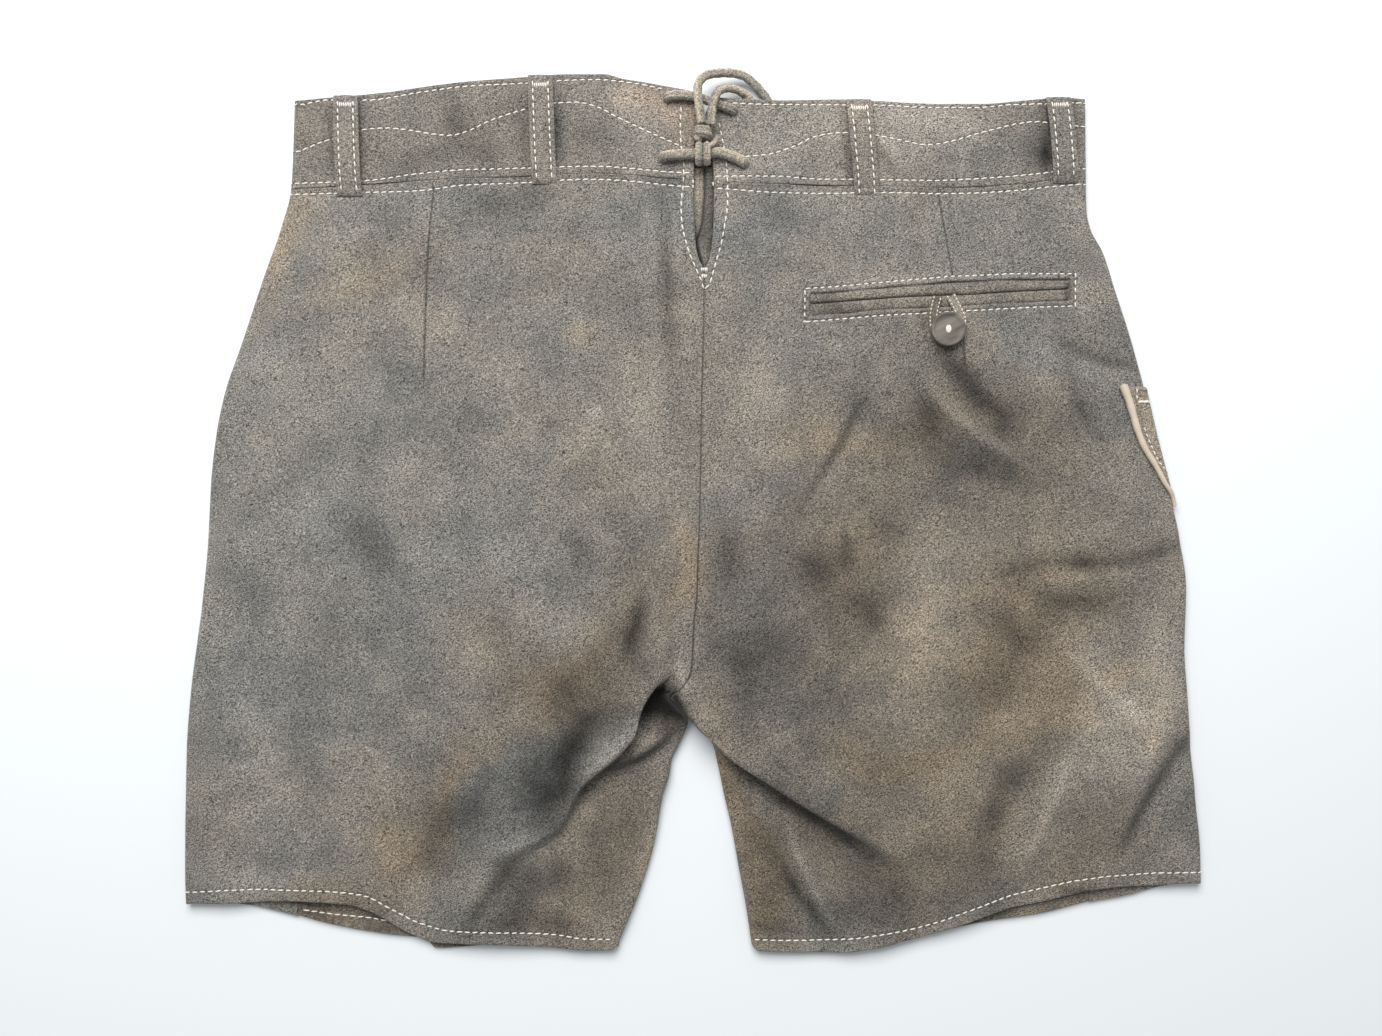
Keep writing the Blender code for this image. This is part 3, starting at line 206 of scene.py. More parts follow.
# Wandering of the cloth between its creases: (length of the wave, turn in degrees, start, height)
WANDER = rows("71,20,.4,.55 53,105,2.1,.46 93,150,4,.7 37,62,1.2,.26 25,128,3.3,.15 17,12,5.2,.08")

# Dye and wear of the suede, and in the lightness column also painted shade, such as the dark hollows beside the
# folds: middle (across, up), half length, half width, turn, warmth, lightness
STROKES = rows("""-236,152,34,10,62,.75,.18 -195,135,42,10,30,.4,.02 -180,-20,70,30,-10,-.3,-.04
    -250,-90,40,46,0,-.25,0 -105,-80,34,44,20,.32,.04 -62,-94,34,20,30,.55,-.04 -175,-190,22,14,55,.6,.02
    -140,-165,44,9,58,.5,.03 -205,-222,40,9,0,.5,-.16 -100,-160,44,20,50,-.55,-.12 -80,-140,34,18,62,-.3,0
    -48,-192,60,30,70,.5,-.06 -70,-236,60,10,4,.1,-.16 -9,-40,46,8,86,.6,.1 -65,107,5,10,80,.55,.14
    -70,170,80,14,-4,-.22,-.05 -262,120,60,10,70,.05,.14 -284,-40,90,7,86,.05,.12 30,168,60,13,-3,-.3,-.04
    70,40,26,12,0,.45,.05 110,45,24,14,0,.28,.03 35,-40,34,46,0,-.25,-.16 150,20,34,12,28,-.25,-.1
    54,-150,26,20,30,-.15,-.1 82,-160,16,12,0,-.4,-.06 215,92,34,14,-20,-.35,-.05 240,50,24,24,0,-.3,-.04
    130,-80,30,30,0,.12,.1 126,-140,32,13,-4,.52,.02 196,-105,40,20,44,.62,.04 246,-92,12,8,60,.45,.1
    210,-45,34,12,4,.05,-.12 262,-105,60,12,72,.1,.14 264,-133,9,3,-60,.4,.16 29,-180,52,10,-76,1.1,0
    44,-214,26,12,-70,.6,-.06 96,-232,44,10,8,.05,-.16 170,-216,60,12,18,.05,-.1 288,0,90,6,90,.05,.1
    142,43,52,34,-30,.15,-.26 211,48,34,44,0,.1,-.2 78,-28,40,30,0,.2,-.18 50,-95,42,36,-40,0,-.28
    208,-52,44,20,0,.25,-.18 186,-96,34,22,30,.45,-.18 72,-186,50,34,-30,.1,-.3 96,-141,40,20,-10,.1,-.18
    145,-198,46,24,20,.3,-.18 234,-187,44,30,40,.2,-.2 -40,-52,18,32,0,.3,-.2 -90,-142,36,20,50,.1,-.12
    -86,-96,34,16,30,.2,-.18 -213,-49,50,30,0,0,-.1 -132,-142,30,18,30,.2,-.12 -110,156,60,34,0,.05,-.12
    160,-50,120,150,0,.42,0 -20,60,60,160,0,.16,0 0,-180,260,60,0,.16,-.04""")
# Strokes of the waistband, the same columns: warmth is dye, and lightness is partly dye and partly painted light on
# its brightest parts and painted shade
BAND_STROKES = rows("""190,227,26,12,0,0,-.16 -30,236,26,10,-20,.35,.16 -14,222,10,18,0,.45,.02
    1,226,5,16,0,.7,-.14 -120,214,70,14,4,.05,-.06 -215,216,16,16,0,.25,.03 150,224,50,10,0,.15,.14""")

# Sewing lines of the waistband and the panels under it: (across, up)
SEWING = tables(
    left_top="""-229.5,234.5 -206,238.3 -189,238.3 -158,242.4 -122,246.4 -94,248.1 -56,249.6 -35,247.6
        -20,244.7 -15,243.6""",
    left_wave="""-229,207.3 -216,213 -204,216.8 -188,221.4 -176,222.2 -164,221.1 -152,218.8 -140,217.6
        -128,220.8 -116,226.8 -104,230.9 -94,233.7 -77,236.3 -67,236.6 -54,233.7 -45,229.1 -26,219.9 -6.5,210.7""",
    left_foot="-229,190.2 -189,191.8 -158,195.8 -133,197.8 -94,199.2 -56,199.8 -5,195.8 .4,195.6",
    left_panel="-229,184 -189,185.4 -158,186 -133,188.9 -94,191.2 -56,192.3 -5,188.3 0,187.7",
    right_top="""22,235.6 48,235 64,235 86,235.3 104,235.3 137,234 162,233.8 182,235.4 202,236 220,236.6
        226,236""",
    right_wave="""29.5,205 43,206.7 58,211.3 71,217.1 89,219.4 105,218.2 120,215.3 135,212.5 145,213.6
        156,216.5 172,220.8 187,224.5 197,225.7 205,225.1 220,223.4 227,220.8""",
    right_foot="""12.6,193.5 50,194.1 72,192.9 91,192.6 108,192.2 137,191.8 162,192.9 187,194.6 206,196.9
        226,199.2""",
    right_panel="13.4,186.6 50,184.9 91,184.9 137,184.4 162,185 187,186.4 206,188.6 227,190.2",
    left_hem="""-292.5,-217.6 -269,-216.4 -247,-216 -215,-216.6 -189,-219.4 -174,-226.8 -156,-236 -141,-239.4
        -123,-240 -91,-241 -79,-242 -60,-244.6 -45,-244.4""",
    right_hem="""35,-244.6 59,-245.4 83,-245 115,-240.6 143,-233.7 162,-226.6 182,-219.6 202,-215.4 222,-210.4
        242,-207.4 267,-206.6 293,-205.8""",
)
# Sewing round the lacing slit, from the waistband to the point of the V: (across, up)
SLIT_SEWING = tables(
    left="""-6.5,234.3 -7,221.7 -6.5,211.3 -5,200.4 -5.5,187.7 -6.5,179.1 -6,166.5 -3.5,155.5 -.5,146.9 5,134.3
        6.3,129.5""",
    right="""15,225.1 16.5,217.6 18,210.2 19.5,199.2 20,187.7 20,176.8 18.5,166.5 16.5,155.5 13.5,145.2
        10,133.1 6.9,129.5""",
).values()
ON_BAND = 6            # this many of its points are on the waistband
DARTS = tables(
    left="-148.6,187 -153.2,140.6 -154.4,77.9",
    right="141.2,186 144,169.9 146.3,157.8 149.8,137.6",
    right_end="153.5,112 155.5,105.5 156.7,86.5",
).values()
SLIT_BITS = list(map(rows, (
    ".3,192 .3,186.6", "11.8,190.5 11.8,187.6", "14.7,191 14.7,188.8", "7.8,226 8.9,222",
    "8.9,231.4 8.9,228.6", "12.4,210 13.5,207")))
INSIDE_HEMS = tables(
    left="-225.5,-228.6 -205.5,-231.4 -187,-233.2 -172,-236",
    right="194.5,-225.1 210,-221.6 226.5,-217.6",
).values()
SLIT_BARS = (((5.2, 140.6), (8.2, 140.6), 2.4, 4), ((5.6, 136.6), (7.8, 136.6), 2.0, 3))
KNIFE_BAR = rows("256.5,64.7 265,64.7")
KNIFE_SEWING = ("255.5,72.7 255.5,66.4", "259.5,50.3 263,41.1 267.5,31.3 273,22.7")
UNDER_SEWING = 6.0     # rows of the underside: from the panel's top,
BAND_UNDER_TOP = 4.5   # from the front waist,
BAND_UNDER_FOOT = 3.6  # and from the foot of the waistband
FLAP_SEWING = 4.0
FRAME_SEWING = 2.9     # sewing round the window from its edge
SEWN_PROUD = 0.2       # how far the underside's sewing lies in from it
THREAD_SUNK = 0.05     # in the pocket's frame and its strap
SLOPE_REACH = 1.2      # for finding which way a surface faces

# Stitches: length, pitch, half width of the thread, and the seed that varies them
STITCHES = {
    "sewing_long": (3.3, 4.5, 0.44, 3), "sewing_slit": (2.2, 2.7, 0.45, 5),
    "sewing_hem_insides": (3.3, 4.5, 0.44, 7), "sewing_pocket": (2.9, 4.2, 0.44, 11),
    "sewing_strap": (1.5, 2.3, 0.34, 13), "sewing_loops": (3.1, 4.4, 0.44, 17),
    "sewing_loop_bars": (2.6, 2.8, 0.4, 19), "sewing_knife_bar": (3.4, 2.9, 0.8, 23),
    "sewing_knife": (2.4, 3.6, 0.4, 29), "sewing_flap": (3.3, 4.5, 0.44, 31),
}

# Belt loops: (across at the top, across at the foot, foot up). Sections: (aside, above)
BELT_LOOPS = rows("-199,-197,183 -87.4,-85,190 95.2,100.3,183.5 210,214.5,190.5")
LOOP_WALL = 1.8
LOOP_ARCH = 1.8
LOOP_SEWING = 4.4      # the rows of stitches from the middle of a loop
LOOP_BAR = 3.2         # reach of the bar of stitches at its top
LOOP_SECTION = rows("""-7.25,-1 -7.25,-0.5 -7,-0.18 -6.45,0 -5.3,0.02 -4.4,-0.22 -3.5,0.05 -1.8,0.16 0,0.2
    1.8,0.16 3.5,0.05 4.4,-0.22 5.3,0.02 6.45,0 7,-0.18 7.25,-0.5 7.25,-1 6.85,-1.8 -6.85,-1.8""")

# Welt pocket: edges of its window and its mouth: (across, up)
WINDOW_EDGES = tables(
    top="67,127 100,129.7 137,133 150,134.3 187,135.4 218,135.6",
    mouth="67,121.4 112,124.5 137,126.2 154,126.8 187,128.5 218,130.2",
    foot="67,114 112,117.3 157,120 187,121.3 218,122.8",
)
WINDOW_LEFT = 67.5
WINDOW_RIGHT = 217.5
FRAME_SECTION = rows("""0.25,-2 0,-1 0,-0.45 0.2,-0.05 0.6,0.2 1.2,0.28 2,0.2 2.9,-0.12 3.7,0.02 4.6,-0.12
    4.6,-0.9 1,-1.2""")

# Pocket button and the strap that loops round it
BUTTON_AT = (146.3, 106.1)
BUTTON_RADIUS = 10.0
BUTTON_THICK = 3.0
BUTTON_UNDER = 8.1     # height of the button's lower face
BUTTON_TURNED = rows("0.5,0.18 0.9,0 0.5,-0.35 0.6,-0.25 1.6,0.05 2.2,0.1 1.8,0.04")    # (inwards, upwards)
BUTTON_BEVEL = 0.28
KNOB_SIZE = (1.7, 2.4, 1.0)
KNOB_DENT = 0.25
STRAP_WALL = 1.5
STRAP_SEWING = 1.9     # the rows of stitches from the middle of the strap
STRAP_PATH = rows("""140.6,125.2 139,119 138.2,112 140,104.5 146.3,101 152.6,104.5 154.6,112 151.8,119
    148.2,125.8""")
STRAP_SECTION = rows("""-2.8,-1.2 -2.8,-0.5 -2.3,-0.1 -1.2,-0.02 -0.7,-0.2 0.7,-0.2 1.2,-0.02 2.3,-0.1 2.8,-0.5
    2.8,-1.2""")

# Knife pocket round the right side fold: (up, reach on to the back, reach round under the side)
KNIFE_POCKET = rows("""73.5,14,36 64,12.6,36 48,11.6,35 40,10.4,33.5 28.5,6.4,31 17,3.2,27 9,.8,22 2,.2,16
    -3,0,9.5""")
POCKET_WALL = 1.4
POCKET_SEWING = 3.0    # from its edge
PIPING_RADIUS = 1.7
PIPING_TOP = 2.3       # its thickness at the top of the pocket,
PIPING_THINNED = 1.15  # and how much of it is gone at the foot

# Lace: name, radius, rings, angle of the groove, angle and width of the worn side, which also carries a painted
# highlight on top, route (across, up, height)
LACE_RADIUS = 2.5
EYELETS = rows("-17,204.4 30.2,201 -14.7,239 23.9,230.9")
EYELET_RADIUS = 2.6
EYELET_DIP = 0.9
EYELET_SHADE = 0.25
WRAP = rows("0,209.6,15.4 0,208.2,16.7 0,205.2,17.2 0,201.8,15.8 0,200,12.6")
KNOT_AT = (6, 213, 16.2)
KNOT_LONG = 5.2
KNOT_START = 2.6       # angle of the coil's first point
COIL = [(KNOT_AT[0] + 2.9 * math.cos(turn + KNOT_START), KNOT_AT[1] + KNOT_LONG * i / 25,
         KNOT_AT[2] + 2.6 * math.sin(turn + KNOT_START))
        for i, turn in enumerate(np.linspace(0, 4.4 * math.pi, 26))]
LACE = (
    ("lace_lower", 3.0, 64, 95, (150, 40), rows("""-17,204.4,7.8 -15.4,204.7,11.2 -8,205.2,12.1 2,205.7,11.8
        8,206,11.8 15,206.4,12.1 24,203.7,12 28.6,201.6,10.9 30.2,201,7.5""")),
    ("lace_upper", 2.6, 52, 80, (170, 30), rows("""-14.7,239,7.8 -13.1,239,11.2 -6,239.2,12 4,237.6,11.8
        14,234,11.8 22.1,231.5,11 23.9,230.9,7.6""")),
    ("lace_end_outer", LACE_RADIUS, 90, 70, (120, 34), rows("""5.2,221.8,16.8 4.2,227.2,17.8 3.2,235.2,18
        3.2,244,15.4 7,249.6,12.6 13,252.2,10 22,253.4,7.4 29,252.6,5.6 34,249.6,4.4 38.5,245.6,3.4 42,241.6,2.8
        44.5,237.4,2.7 46,233.6,2.7""")),
    ("lace_end_inner", LACE_RADIUS, 70, 110, (60, 30), rows("""10.6,221.2,16.2 10.9,225.6,17.4 11.4,232.2,17.7
        14,239.4,15.4 18.4,243.6,10.4 23.4,244.6,7.2 28.5,243.4,4.8 32.6,240.6,3.2 35.6,236.8,2.7 37.2,233,2.7""")),
    ("lace_wrap_1", 2.2, 34, 200, (40, 30), WRAP + (3.7, 0, 0)),
    ("lace_wrap_2", 2.2, 34, 110, (130, 30), WRAP + (8.1, 0, 0)),
    ("lace_knot", 2.35, 110, 180, (90, 34), COIL),
    ("lace_strand", 1.5, 20, None, (90, 90), rows("7.4,210.2,17 9.6,209.2,15.8 12,211,14.6 14.2,214.4,13.4")),
)
# Pieces with nothing in the CAD to stand for
ADDED = ("lace_strand", "pocket_frame", "button_thread", *STITCHES)

TROUGH_PAINTED_SHADE = 0.030   # painted shade: how much darker the suede is painted for each millimetre of a trough's depth
# Suedes: their two dyes, the depth of the nap and the turn of its brushing
SUEDES = {
    # the lace's warm dye is its tan side: partly worn suede, partly a painted highlight on its upper side
    "suede_lace": ((0.235, 0.224, 0.204), (0.440, 0.370, 0.290), 0.8, 28),
    "suede_grey": ((0.190, 0.187, 0.179), (0.217, 0.175, 0.129), 1.0, 28),
    "suede_band": ((0.172, 0.166, 0.153), (0.230, 0.182, 0.145), 1.0, 10),
    "suede_brown": ((0.195, 0.182, 0.162), (0.215, 0.178, 0.140), 1.0, 28),
    "suede_tan": ((0.185, 0.175, 0.155), (0.290, 0.240, 0.185), 0.8, 28),
}
SHEEN = (0.92, 0.90, 0.86, 1)
THREAD_CREAM = (0.80, 0.76, 0.68)
PIPING_CREAM = (0.60, 0.505, 0.41)
PIPING_WORN = (0.62, 0.53, 0.43)
HORN_DARK = (0.045, 0.040, 0.034)
HORN_PALE = (0.205, 0.183, 0.156)
FLOOR_PALE = (0.82, 0.85, 0.875, 1)
SKY_PALE = (0.93, 0.975, 1.0, 1)
WINDOW_LIGHT = (1.0, 0.985, 0.96)

# The light and the sky, in metres and watts
LAMP_SIZE = (1.3, 1.0)
LAMP_POWER = 34.5
LAMP_AT = (-0.20, 0.98, 1.24)
SKY_STRENGTH = 0.40

UNDER_DYE = 0.5        # share of the dye that shows on pieces underneath
# What a material reads from a piece where nothing else is said: dye, lightness that also holds painted light and
# shade, and how far sewing, seams and a dark line are, where the suede is darkened with painted shade. The last
# is below 0 on one side of the line.
PLAIN_FIELDS = {"warmth": 0.0, "lightness": 0.0, "sewn": 20.0, "seam": 20.0, "line": 20.0}

# Floor and camera
FLOOR_Z = -0.0006      # in metres
FLOOR_HALF = 2.5
VIEW_MIDDLE = (-0.9, -2.0)
VIEW_WIDTH = 795.0     # of the surface, from side to side of the view
LENS = 30.0
SENSOR = 36.0


# Lines and heights

def ease(value, low, high):
    """0 below low, 1 above high, and smooth between them; low may be the larger."""
    t = np.clip((value - low) / (high - low), 0, 1)
    return t * t * (3 - 2 * t)


def bell(distance, width, power=2):
    """1 at 0, and down to 0 over this width."""
    return np.exp(-((distance / width) ** power))


def unit(vectors):
    return vectors / np.maximum(np.linalg.norm(vectors, axis=-1, keepdims=True), 1e-9)


def points_of(x, y, z):
    """Points from their three measures, each of which may be one row, one column or one number."""
    return np.stack(np.broadcast_arrays(x, y, z), -1)


def upright(count, way=1.0):
    """So many directions, all straight up, or down."""
    return np.tile((0.0, 0.0, way), (count, 1))


def smooth_line(table):
    """A smooth function through (along, value) rows that never overshoots, and is level past its ends."""
    along, value = table[np.argsort(table[:, 0])].T
    step = np.diff(along)
    grade = np.diff(value) / step
    slope = np.zeros(len(along))
    slope[[0, -1]] = grade[[0, -1]]
    for i in range(1, len(along) - 1):
        if grade[i - 1] * grade[i] > 0:
            before = 2 * step[i] + step[i - 1]
            after = step[i] + 2 * step[i - 1]
            slope[i] = (before + after) / (before / grade[i - 1] + after / grade[i])

    def at(place):
        place = np.clip(place, along[0], along[-1])
        i = np.clip(np.searchsorted(along, place) - 1, 0, len(step) - 1)
        t = (place - along[i]) / step[i]
        start = value[i] * (1 + 2 * t) * (1 - t) ** 2 + slope[i] * step[i] * t * (1 - t) ** 2
        end = value[i + 1] * t * t * (3 - 2 * t) + slope[i + 1] * step[i] * t * t * (t - 1)
        return start + end

    return at


def lengths_along(points):
    """How far along a line each of its points is."""
    return np.concatenate([[0], np.cumsum(np.linalg.norm(np.diff(points, axis=0), axis=1))])


def sampled(points, run, place):
    """Points of a line at places along it, where run says how far along its own points are."""
    return np.stack([np.interp(place, run, column) for column in points.T], -1)


def curve_through(points, count):
    """Evenly spaced points on a smooth curve through the given ones."""
    points = np.array(points, float)
    padded = np.concatenate([2 * points[:1] - points[1:2], points, 2 * points[-1:] - points[-2:-1]])
    dense = [0.5 * (2 * b + (c - a) * t + (2 * a - 5 * b + 4 * c - d) * t**2 + (3 * b - a - 3 * c + d) * t**3)
             for a, b, c, d in zip(padded, padded[1:], padded[2:], padded[3:])
             for t in np.linspace(0, 1, 12, endpoint=False)]
    dense = np.array([*dense, points[-1]])
    run = lengths_along(dense)
    return sampled(dense, run, np.linspace(0, run[-1], count))


def along_path(path):
    return unit(np.gradient(path, axis=0))


def nearest_on(path, x, y):
    """For places x, y: how far the path is, how far along it (0 to 1), its side, and the way across it there."""
    best = np.full(np.shape(x), 1e9)
    along = np.zeros(best.shape)
    side = np.zeros(best.shape)
    across = np.zeros((*best.shape, 2))
    for i, (start, end) in enumerate(zip(path[:-1, :2], path[1:, :2])):
        run = end - start
        length = max(np.hypot(*run), 1e-6)
        t = np.clip(((x - start[0]) * run[0] + (y - start[1]) * run[1]) / length**2, 0, 1)
        off_x = x - start[0] - t * run[0]
        off_y = y - start[1] - t * run[1]
        distance = np.hypot(off_x, off_y)
        closer = distance < best
        best = np.where(closer, distance, best)
        along = np.where(closer, (i + t) / (len(path) - 1), along)
        side = np.where(closer, np.sign(run[0] * off_y - run[1] * off_x), side)
        across[closer] = np.array((-run[1], run[0])) / length
    return best, along, side, across


def around(path, x, y, reach):
    """Which of the places x, y are in the box round a path, with this reach outside it."""
    low, high = path.min(0) - reach, path.max(0) + reach
    return (x > low[0]) & (x < high[0]) & (y > low[1]) & (y < high[1])


def big_fold(table, soft_side, soft_width, steep_width):
    """A fold as a function of the place that gives its height and lean.

    It has a long slope on its soft side, and a steep one that the crest may lean over. The rows say where the
    leaning crest ends up."""
    path = curve_through(table, 50)
    run = along_path(path[:, :2])
    path[:, :2] += soft_side * path[:, 3:] * np.stack([-run[:, 1], run[:, 0]], -1)
    stations = np.linspace(0, 1, len(path))

    def at(x, y):
        distance, along, side, across = nearest_on(path, x, y)
        soft = side == soft_side
        steep = 1 - ease(distance, 0, steep_width)
        crest, lean = (np.interp(along, stations, path[:, column]) for column in (2, 3))
        height = crest * np.where(soft, bell(distance, soft_width), steep)
        amount = lean * np.where(soft, bell(distance, LEAN_WIDTH), steep)
        return height, across * (-soft_side * amount)[..., None]

    return at


FOLDS = (big_fold(LEFT_RIDGE, -1, 34.0, 11.0), big_fold(LOWER_RIDGE, -1, 8.0, 8.0),
         big_fold(RIGHT_CREASE, 1, 30.0, 6.0))


def fold_shape(x, y):
    """Height and lean of the big folds together: the highest one counts."""
    height = np.zeros(np.shape(x))
    lean = np.zeros((*np.shape(x), 2))
    near = y < 0
    for fold in FOLDS:
        found, shift = fold(x[near], y[near])
        higher = found > height[near]
        height[near] = np.where(higher, found, height[near])
        lean[near] = np.where(higher[..., None], shift, lean[near])
    return height, lean


def crease_height(table, x, y):
    """Troughs and ridges of the cloth, each fading out towards its ends."""
    total = np.zeros(np.shape(x))
    for *places, width, depth in table:
        path = np.reshape(places, (3, 2))
        near = around(path, x, y, 3 * width)
        if near.any():
            distance, along, _, _ = nearest_on(curve_through(path, 14), x[near], y[near])
            fade = np.sin(np.pi * (0.06 + 0.88 * along)) ** 0.7
            total[near] += depth * fade * bell(distance, width)
    return total


def wander(x, y):
    """The cloth is never quite level, but it is held flat near the button and at the side folds."""
    total = np.zeros(np.shape(x))
    for length, turn, start, height in WANDER:
        turn = math.radians(turn)
        along = x * math.cos(turn) + y * math.sin(turn)
        bend = np.sin((y * math.cos(turn) - x * math.sin(turn)) / length * 2.6 + start) * 1.4
        total += height * np.sin(2 * math.pi * along / length + start + bend)
    held = bell(np.hypot(x - BUTTON_AT[0], y - BUTTON_AT[1]), 24, 4)
    from_fold = np.minimum(x - LEFT.fold(y), RIGHT.fold(y) - x)
    return total * (1 - held) * ease(from_fold, 2, 34)


def lacing_rise(x, y):
    return LACING_RISE * bell(x - LACING_X, 42.0) * ease(y, 95, 165)


def pocket_dip(x, y):
    """The panel goes down under the pocket's two lips, inside its window."""
    top, foot = WINDOW["top"](x), WINDOW["foot"](x)
    inside = (ease(x, WINDOW_LEFT - 1.0, WINDOW_LEFT + 2.0)
              * (1 - ease(x, WINDOW_RIGHT - 2.0, WINDOW_RIGHT + 1.0))
              * (1 - ease(y, top - 1.6, top + 0.8)) * ease(y, foot - 0.8, foot + 1.6))
    return -POCKET_SINK * inside


def at_eyelets(values, x, y, amount, power):
    """The values, lower by this amount at each eyelet."""
    for across, up in EYELETS:
        values = values - amount * bell(np.hypot(x - across, y - up), EYELET_RADIUS, power)
    return values


def cloth_height(x, y):
    """Outer face of the back panels above the surface, without the rounding of their edges."""
    height = (LIE_HEIGHT + lacing_rise(x, y) + fold_shape(x, y)[0] + crease_height(CREASES, x, y)
              + wander(x, y))
    return LOWEST + 0.5 * np.logaddexp(0, (height - LOWEST) / 0.5) + pocket_dip(x, y)


def band_height(x, y):
    height = BAND_HEIGHT + lacing_rise(x, y) + crease_height(BAND_CREASES, x, y) + 0.5 * wander(x, y)
    return at_eyelets(height, x, y, EYELET_DIP, 2)


def under_height(x, y):
    """The underside lies flat, apart from soft troughs."""
    return np.maximum(crease_height(UNDER_CREASES, x, y), 0)


def back_height(x, y):
    """Outer face of the back, waistband or panel, whichever is there."""
    seam = np.where(x < LACING_X, LEFT.band_seam(x), RIGHT.band_seam(x))
    return np.where(y > seam, band_height(x, y), cloth_height(x, y))


def inseam_height(y):
    return INSEAM_HEIGHT + (CROTCH_HEIGHT - INSEAM_HEIGHT) * ease(y, -126, -113)


def side_lift(half, x, y):
    """How far the side of the right leg is lifted by the knife pocket under it."""
    inward = RIGHT.fold(y) - x
    window = ease(y, -27, -9) * (1 - ease(y, 77, 94)) * (1 - ease(inward, 38, 56))
    return (POCKET_WALL + SEAM_GAP) * window * (half is RIGHT)


def band_step(x):
    """Height of the front waistband's outer face: it lies behind the flap and steps down beside it."""
    step = 1 - ease(abs(x - CENTRE_FRONT), FLAP_HALF + 2, FLAP_HALF + FLAP_STEP)
    return (LEATHER + SEAM_GAP + 0.1) * step


def hem_wall(from_hem):
    """Thickness of the leather above a hem, which is turned."""
    return LEATHER + HEM_EXTRA * (1 - ease(from_hem, HEM_TURN - 2, HEM_TURN))


def round_off(distance, radius):
    """How far a rounded edge drops at a distance in from the edge."""
    inside = np.clip(distance / radius, 0, 1)
    return radius * (1 - np.sqrt(1 - (1 - inside) ** 2))


class Half:
    """The edges of the left (side -1) or right (side 1) half of the garment."""

    def __init__(self, side):
        self.side = side
        self.name = "left" if side < 0 else "right"
        for edge in ("fold", "waist", "band_seam", "hem", "under_hem"):
            setattr(self, edge, smooth_line(EDGES[f"{self.name}_{edge}"]))
        inseam = EDGES[self.name + "_inseam"]
        seam = BACK_SEAM + (0, side * BACK_OPEN)
        self.inner = smooth_line(np.vstack([EDGES[self.name + "_slit"], seam, inseam]))
        front_seam = [(up, CENTRE_FRONT + side * SEAM_GAP / 2) for up in (240, 100, 0, -60, -95)]
        self.front_inner = smooth_line(np.vstack([front_seam, seam[seam[:, 0] < -112], inseam]))

    def top(self, x):
        """Top of the panels, and foot of the waistband."""
        return self.band_seam(x) + 0.02

    def front_waist(self, x):
        return self.waist(x) - FRONT_WAIST_DROP * (1 - ease(abs(x), 60, 215))


LEFT, RIGHT = HALVES = (Half(-1), Half(1))
WINDOW = {name: smooth_line(table) for name, table in WINDOW_EDGES.items()}


def flap_top(x):
    return np.where(x < CENTRE_FRONT, LEFT.front_waist(x), RIGHT.front_waist(x)) - 1.0


# Sewing lines as paths over the surface, and what the materials read

def sewing_path(name):
    """A sewing line as points (across, up)."""
    x = np.arange(SEWING[name][0, 0], SEWING[name][-1, 0], 3.0)
    return np.stack([x, smooth_line(SEWING[name])(x)], -1)


def window_outline(out, count):
    """The pocket's window, moved outwards, as a closed ring of points that starts at its lower left corner."""
    x = np.linspace(WINDOW_LEFT - out, WINDOW_RIGHT + out, count)
    foot = np.stack([x, WINDOW["foot"](x) - out], -1)
    top = np.stack([x[::-1], WINDOW["top"](x[::-1]) + out], -1)
    side = np.linspace(0, 1, 7)[1:-1, None]
    return np.concatenate([foot, foot[-1] + (top[0] - foot[-1]) * side,
                           top, top[-1] + (foot[0] - top[-1]) * side])


PANEL_SEWING = [*(sewing_path(f"{half.name}_{line}") for line in ("panel", "hem") for half in HALVES),
                *(line[ON_BAND - 1:] for line in SLIT_SEWING), window_outline(FRAME_SEWING, 60)]
BAND_SEWING = [*(sewing_path(f"{half.name}_{line}") for half in HALVES for line in ("top", "wave", "foot")),
               *(line[:ON_BAND] for line in SLIT_SEWING)]


def distance_to(paths, x, y):
    """Distance to the nearest of several paths, up to the plain one."""
    best = np.full(np.shape(x), PLAIN_FIELDS["sewn"])
    for path in paths:
        near = around(path, x, y, PLAIN_FIELDS["sewn"])
        if near.any():
            best[near] = np.minimum(best[near], nearest_on(path, x[near], y[near])[0])
    return best


def beside_darts(x, y):
    """Distance from the nearest dart, below 0 on its left."""
    found = np.full(np.shape(x), PLAIN_FIELDS["line"])
    for path in DARTS:
        distance, _, side, _ = nearest_on(path, x, y)
        found = np.where(distance < abs(found), distance * side, found)
    return found


def dye_and_painted_light(strokes, x, y, painted_lines=(), share=1.0, warmer=0.0, lighter=0.0):
    """Fields of the suede's colour: dyeing from the strokes, with wandering outlines, and painted light and shade
    from their lightness and from the painted lines.
    """
    wavy_x = x + 5 * np.sin(y / 13 + 1) + 3 * np.sin(x / 9 + y / 17)
    wavy_y = y + 5 * np.sin(x / 15) + 3 * np.sin(y / 8 - x / 19)
    warmth = np.zeros(np.shape(x))
    lightness = np.zeros(np.shape(x))
    for middle_x, middle_y, long, wide, turn, warm, light in strokes:
        turn = math.radians(turn)
        off_x = wavy_x - middle_x
        off_y = wavy_y - middle_y
        along = (off_x * math.cos(turn) + off_y * math.sin(turn)) / long
        aside = (off_y * math.cos(turn) - off_x * math.sin(turn)) / wide
        amount = np.exp(-(along**2 + aside**2))
        warmth += warm * amount
        lightness += light * amount
    lightness = lightness + crease_height(painted_lines, x, y)
    return {"warmth": warmth * share + warmer, "lightness": lightness * share + lighter}


def with_under(upper, under, shape):
    """Fields of an upper side, and beside them those of its underside, which has this shape."""
    under = {**PLAIN_FIELDS, **under}
    return {field: np.hstack([values, np.broadcast_to(under[field], shape)])
            for field, values in upper.items()}


# Meshes

def placed(name, data):
    """An object in the scene."""
    made = bpy.data.objects.new(name, data)
    bpy.context.collection.objects.link(made)
    return made


def said(made, name):
    """A piece rides on the garment's one body, and may stand for a piece of the CAD."""
    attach(made, "root")
    if name not in ADDED:
        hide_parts(name)
    return made


def own_name(name, slot):
    """What a piece is made of and what it is."""
    return f"{slot.split('_')[0]}_{name}"


